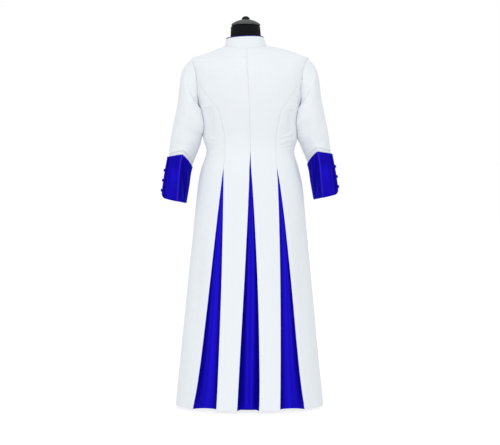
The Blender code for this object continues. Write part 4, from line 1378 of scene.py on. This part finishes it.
def cuff_seat(side, height):
    low, high = 0.0, 1.0
    for _ in range(SEAT_HALVINGS):
        middle = (low + high) / 2
        if cuff_spot(side, CUFF_BUTTON_AROUND, middle)[0].z > height:
            low = middle
        else:
            high = middle
    return cuff_spot(side, CUFF_BUTTON_AROUND, low)


def buttons():
    front, cuffs = [], []
    for number in range(FRONT_BUTTONS):
        seat = front_seat(FRONT_BUTTON_TOP - FRONT_BUTTON_STEP * number)
        front.append((f"front_button_{number + 1:02d}", seat))
    for side, word in SIDES:
        drop = LEFT_SLEEVE_DROP if side < 0 else 0.0
        for number, height in enumerate(CUFF_BUTTONS, 1):
            cuffs.append((f"cuff_button_{word}_{number}", cuff_seat(side, height - drop)))
    for radius, seats in ((FRONT_BUTTON, front), (CUFF_BUTTON, cuffs)):
        model = button_model(radius)
        for name, (seat, normal) in seats:
            button(name, model, seat, normal)
        bpy.data.objects.remove(model)


# Stitches

def stitch_spots(points, normals):
    """Middles, directions and normals of the stitches of one line of points."""
    gaps = np.linalg.norm(np.diff(points, axis=0), axis=1)
    reach = np.concatenate(((0,), np.cumsum(gaps)))
    spots = np.arange(STITCH_PITCH / 2, reach[-1], STITCH_PITCH)
    found = []
    for spot in spots:
        step = min(np.searchsorted(reach, spot), len(points) - 1)
        share = (spot - reach[step - 1]) / max(reach[step] - reach[step - 1], TINY)
        middle = points[step - 1] * (1 - share) + points[step] * share
        way = points[step] - points[step - 1]
        found.append((middle, way / np.linalg.norm(way), normals[step]))
    return found


def stitching(name, lines, made):
    """Stitches along several lines, as one piece."""
    points, faces = [], []
    for line in lines:
        for middle, way, normal in line:
            across = np.cross(normal, way)
            start = len(points)
            points += [middle - way * STITCH_LONG / 2, middle + way * STITCH_LONG / 2,
                       middle - across * STITCH_WIDE / 2, middle + across * STITCH_WIDE / 2,
                       middle + normal * STITCH_HIGH, middle - normal * STITCH_HIGH]
            faces += [tuple(start + corner for corner in face) for face in STITCH_FACES]
    mesh = bpy.data.meshes.new(name)
    mesh.from_pydata([tuple(point) for point in points], [], faces)
    mesh.shade_smooth()
    finish_piece(linked(name, mesh), made, [])


# Dress form

def torso(name):
    angles = steps_between(-180, 180, TORSO_COLUMNS)
    places = steps_between(FORM_FOOT, NECKLINE, round((NECKLINE - FORM_FOOT) * TORSO_ROWS))
    rows = []
    for place in places:
        inward = CLOTH + straight(FORM_EASE, place)
        rows.append([body_point(angle, place) - body_normal(angle, place) * inward
                     for angle in angles])
    for step in range((len(NECK) - 1) * NECK_ROWS + 1):
        row = Section(*along(NECK, step / NECK_ROWS))
        rows.append([section_point(row, angle) for angle in angles])
    foot = section(FORM_FOOT).height
    for point in rows[0]:
        point.z = foot
    grid = np.array([[tuple(point) for point in row] for row in rows])
    piece = grid_piece(name, grid, lengths(grid, 1), lengths(grid, 0))
    close_up(filled=True)
    smooth_shade()
    finish_piece(piece, JERSEY, [name])


def form_piece(name, made, radius, low, high, sides, crown, foot=(), x=0.0, flatness=1.0):
    """A hard piece of the form, set a little to one side; one of steel has its edges rounded."""
    steel = made is STEEL
    piece = turned(name, radius, low, high, sides, crown, foot, smooth_levels=0 if steel else 1)
    if steel:
        apply_modifier(piece, "edge", "BEVEL", width=STEEL_EDGE, segments=3, limit_method="ANGLE",
                       angle_limit=math.radians(STEEL_CORNER))
    piece.data.transform(Matrix.Translation((x, 0, 0)) @ Matrix.Diagonal((1, flatness, 1, 1)))
    finish_piece(piece, made, [name])


def dress_form():
    torso("form_torso")
    form_piece("form_cap", PLASTIC, CAP_RADIUS, CAP_LOW, CAP_LOW + CAP_RIM, CAP_SIDES, CAP_CROWN,
               x=CAP_X, flatness=CAP_FLATNESS)
    form_piece("form_knob", KNOB_PLASTIC, KNOB_RADIUS, KNOB_LOW + KNOB_DISC[0],
               KNOB_LOW + KNOB_DISC[1], KNOB_SIDES, KNOB_CROWN, KNOB_FOOT, x=KNOB_X)
    form_piece("stand_base", STEEL, BASE_RADIUS, 0.0, BASE_HIGH, BASE_SIDES, BASE_CROWN)
    low = BASE_HIGH + sum(step.rise for step in BASE_CROWN) + SEAM_GAP
    high = section(FORM_FOOT).height - SEAM_GAP
    form_piece("stand_pole", STEEL, POLE, low, high, POLE_SIDES, crown=())


# The finishes of the pieces

WHITE = woven("white_twill", WHITE_TWILL)
BLUE = woven("blue_satin_weave", BLUE_SATIN)
# Blue satin with a painted highlight up the middle of its map, which lies on the cuff's pressed ridge
BLUE_WITH_PAINTED_HIGHLIGHT = woven("blue_satin_painted_highlight", BLUE_SATIN, PAINTED_RIDGE_HIGHLIGHT)
JERSEY = woven("black_jersey_knit", BLACK_JERSEY)
CORD = hard("blue_piping_cord", (0.006, 0.003, 0.13), (0.009, 0.005, 0.18), (0.40, 0.5), 2500.0, 0.3,
            specular=0.2)
COVER = hard("blue_button_cover", (0.010, 0.004, 0.42), (0.013, 0.005, 0.50), (0.36, 0.46), 2500.0,
             0.3, specular=0.25)
KNOB_PLASTIC = hard("black_knob_plastic", (0.006, 0.006, 0.006), (0.010, 0.010, 0.010), (0.50, 0.60),
                    700.0, 0.10, specular=0.2)
PLASTIC = hard("black_moulded_plastic", (0.044, 0.044, 0.044), (0.060, 0.060, 0.060), (0.42, 0.54),
               700.0, 0.15)
STEEL = hard("black_enamelled_steel", (0.016, 0.016, 0.017), (0.022, 0.022, 0.023), (0.28, 0.40),
             500.0, 0.10, metallic=0.3)
WHITE_THREAD = thread("white_thread", (0.78, 0.81, 0.86), (0.86, 0.88, 0.92))
BLUE_THREAD = thread("blue_thread", (0.012, 0.005, 0.36), (0.03, 0.015, 0.60))


# The gown and its stitches

def gown():
    """Makes the gown, and gives the grids of the pieces whose stitches show."""
    rows = panel_rows()
    side_rows = [row for row in rows if row[0] <= MID_ARMHOLE]
    grids = {}
    for side, word in SIDES:
        panel(f"back_{word}", centre_back_edges, BACK_COLUMNS, side, rows)
        panel(f"side_back_{word}", side_back_edges, SIDE_BACK_COLUMNS, side, side_rows)
        grids[f"front_{word}"] = panel(f"front_{word}", front_edges, FRONT_COLUMNS, side, rows)
        insert(f"insert_{word}", side, SIDE_APEX)
        sleeve(f"sleeve_{word}", side)
        grids[f"cuff_{word}"] = cuff(f"cuff_{word}", side)
    insert("insert_centre", 0, CENTRE_APEX)
    grids["collar"] = collar("collar_stand")
    piping("collar_piping")
    return grids


def line_of(grid, row=None, column=None, first=0, last=None):
    """Stitches along a row or a column of a piece's grid."""
    normals = grid_normals(grid)
    part = (row, slice(first, last)) if column is None else (slice(first, last), column)
    return stitch_spots(grid[part], normals[part])


def stitches(grids):
    """The rows that show: round the cuffs' edges, under the piping and down the front's lap."""
    edge = len(BLUNT) - 1     # the row or column of a stiff piece that is stitched
    for _, word in SIDES:
        grid = grids[f"cuff_{word}"]
        stitching(f"cuff_stitches_{word}", [line_of(grid, row, first=edge, last=-edge)
                                            for row in (edge, -1 - edge)], BLUE_THREAD)
    stitching("collar_stitches", [line_of(grids["collar"], -1 - edge, first=edge, last=-edge)],
              WHITE_THREAD)
    lap = line_of(grids["front_left"], column=len(TURN) - 1, first=len(HEM_TURN) - 1, last=-len(TURN))
    stitching("lap_stitches", [lap], WHITE_THREAD)


camera()
studio()
floor()
stitches(gown())
buttons()
dress_form()
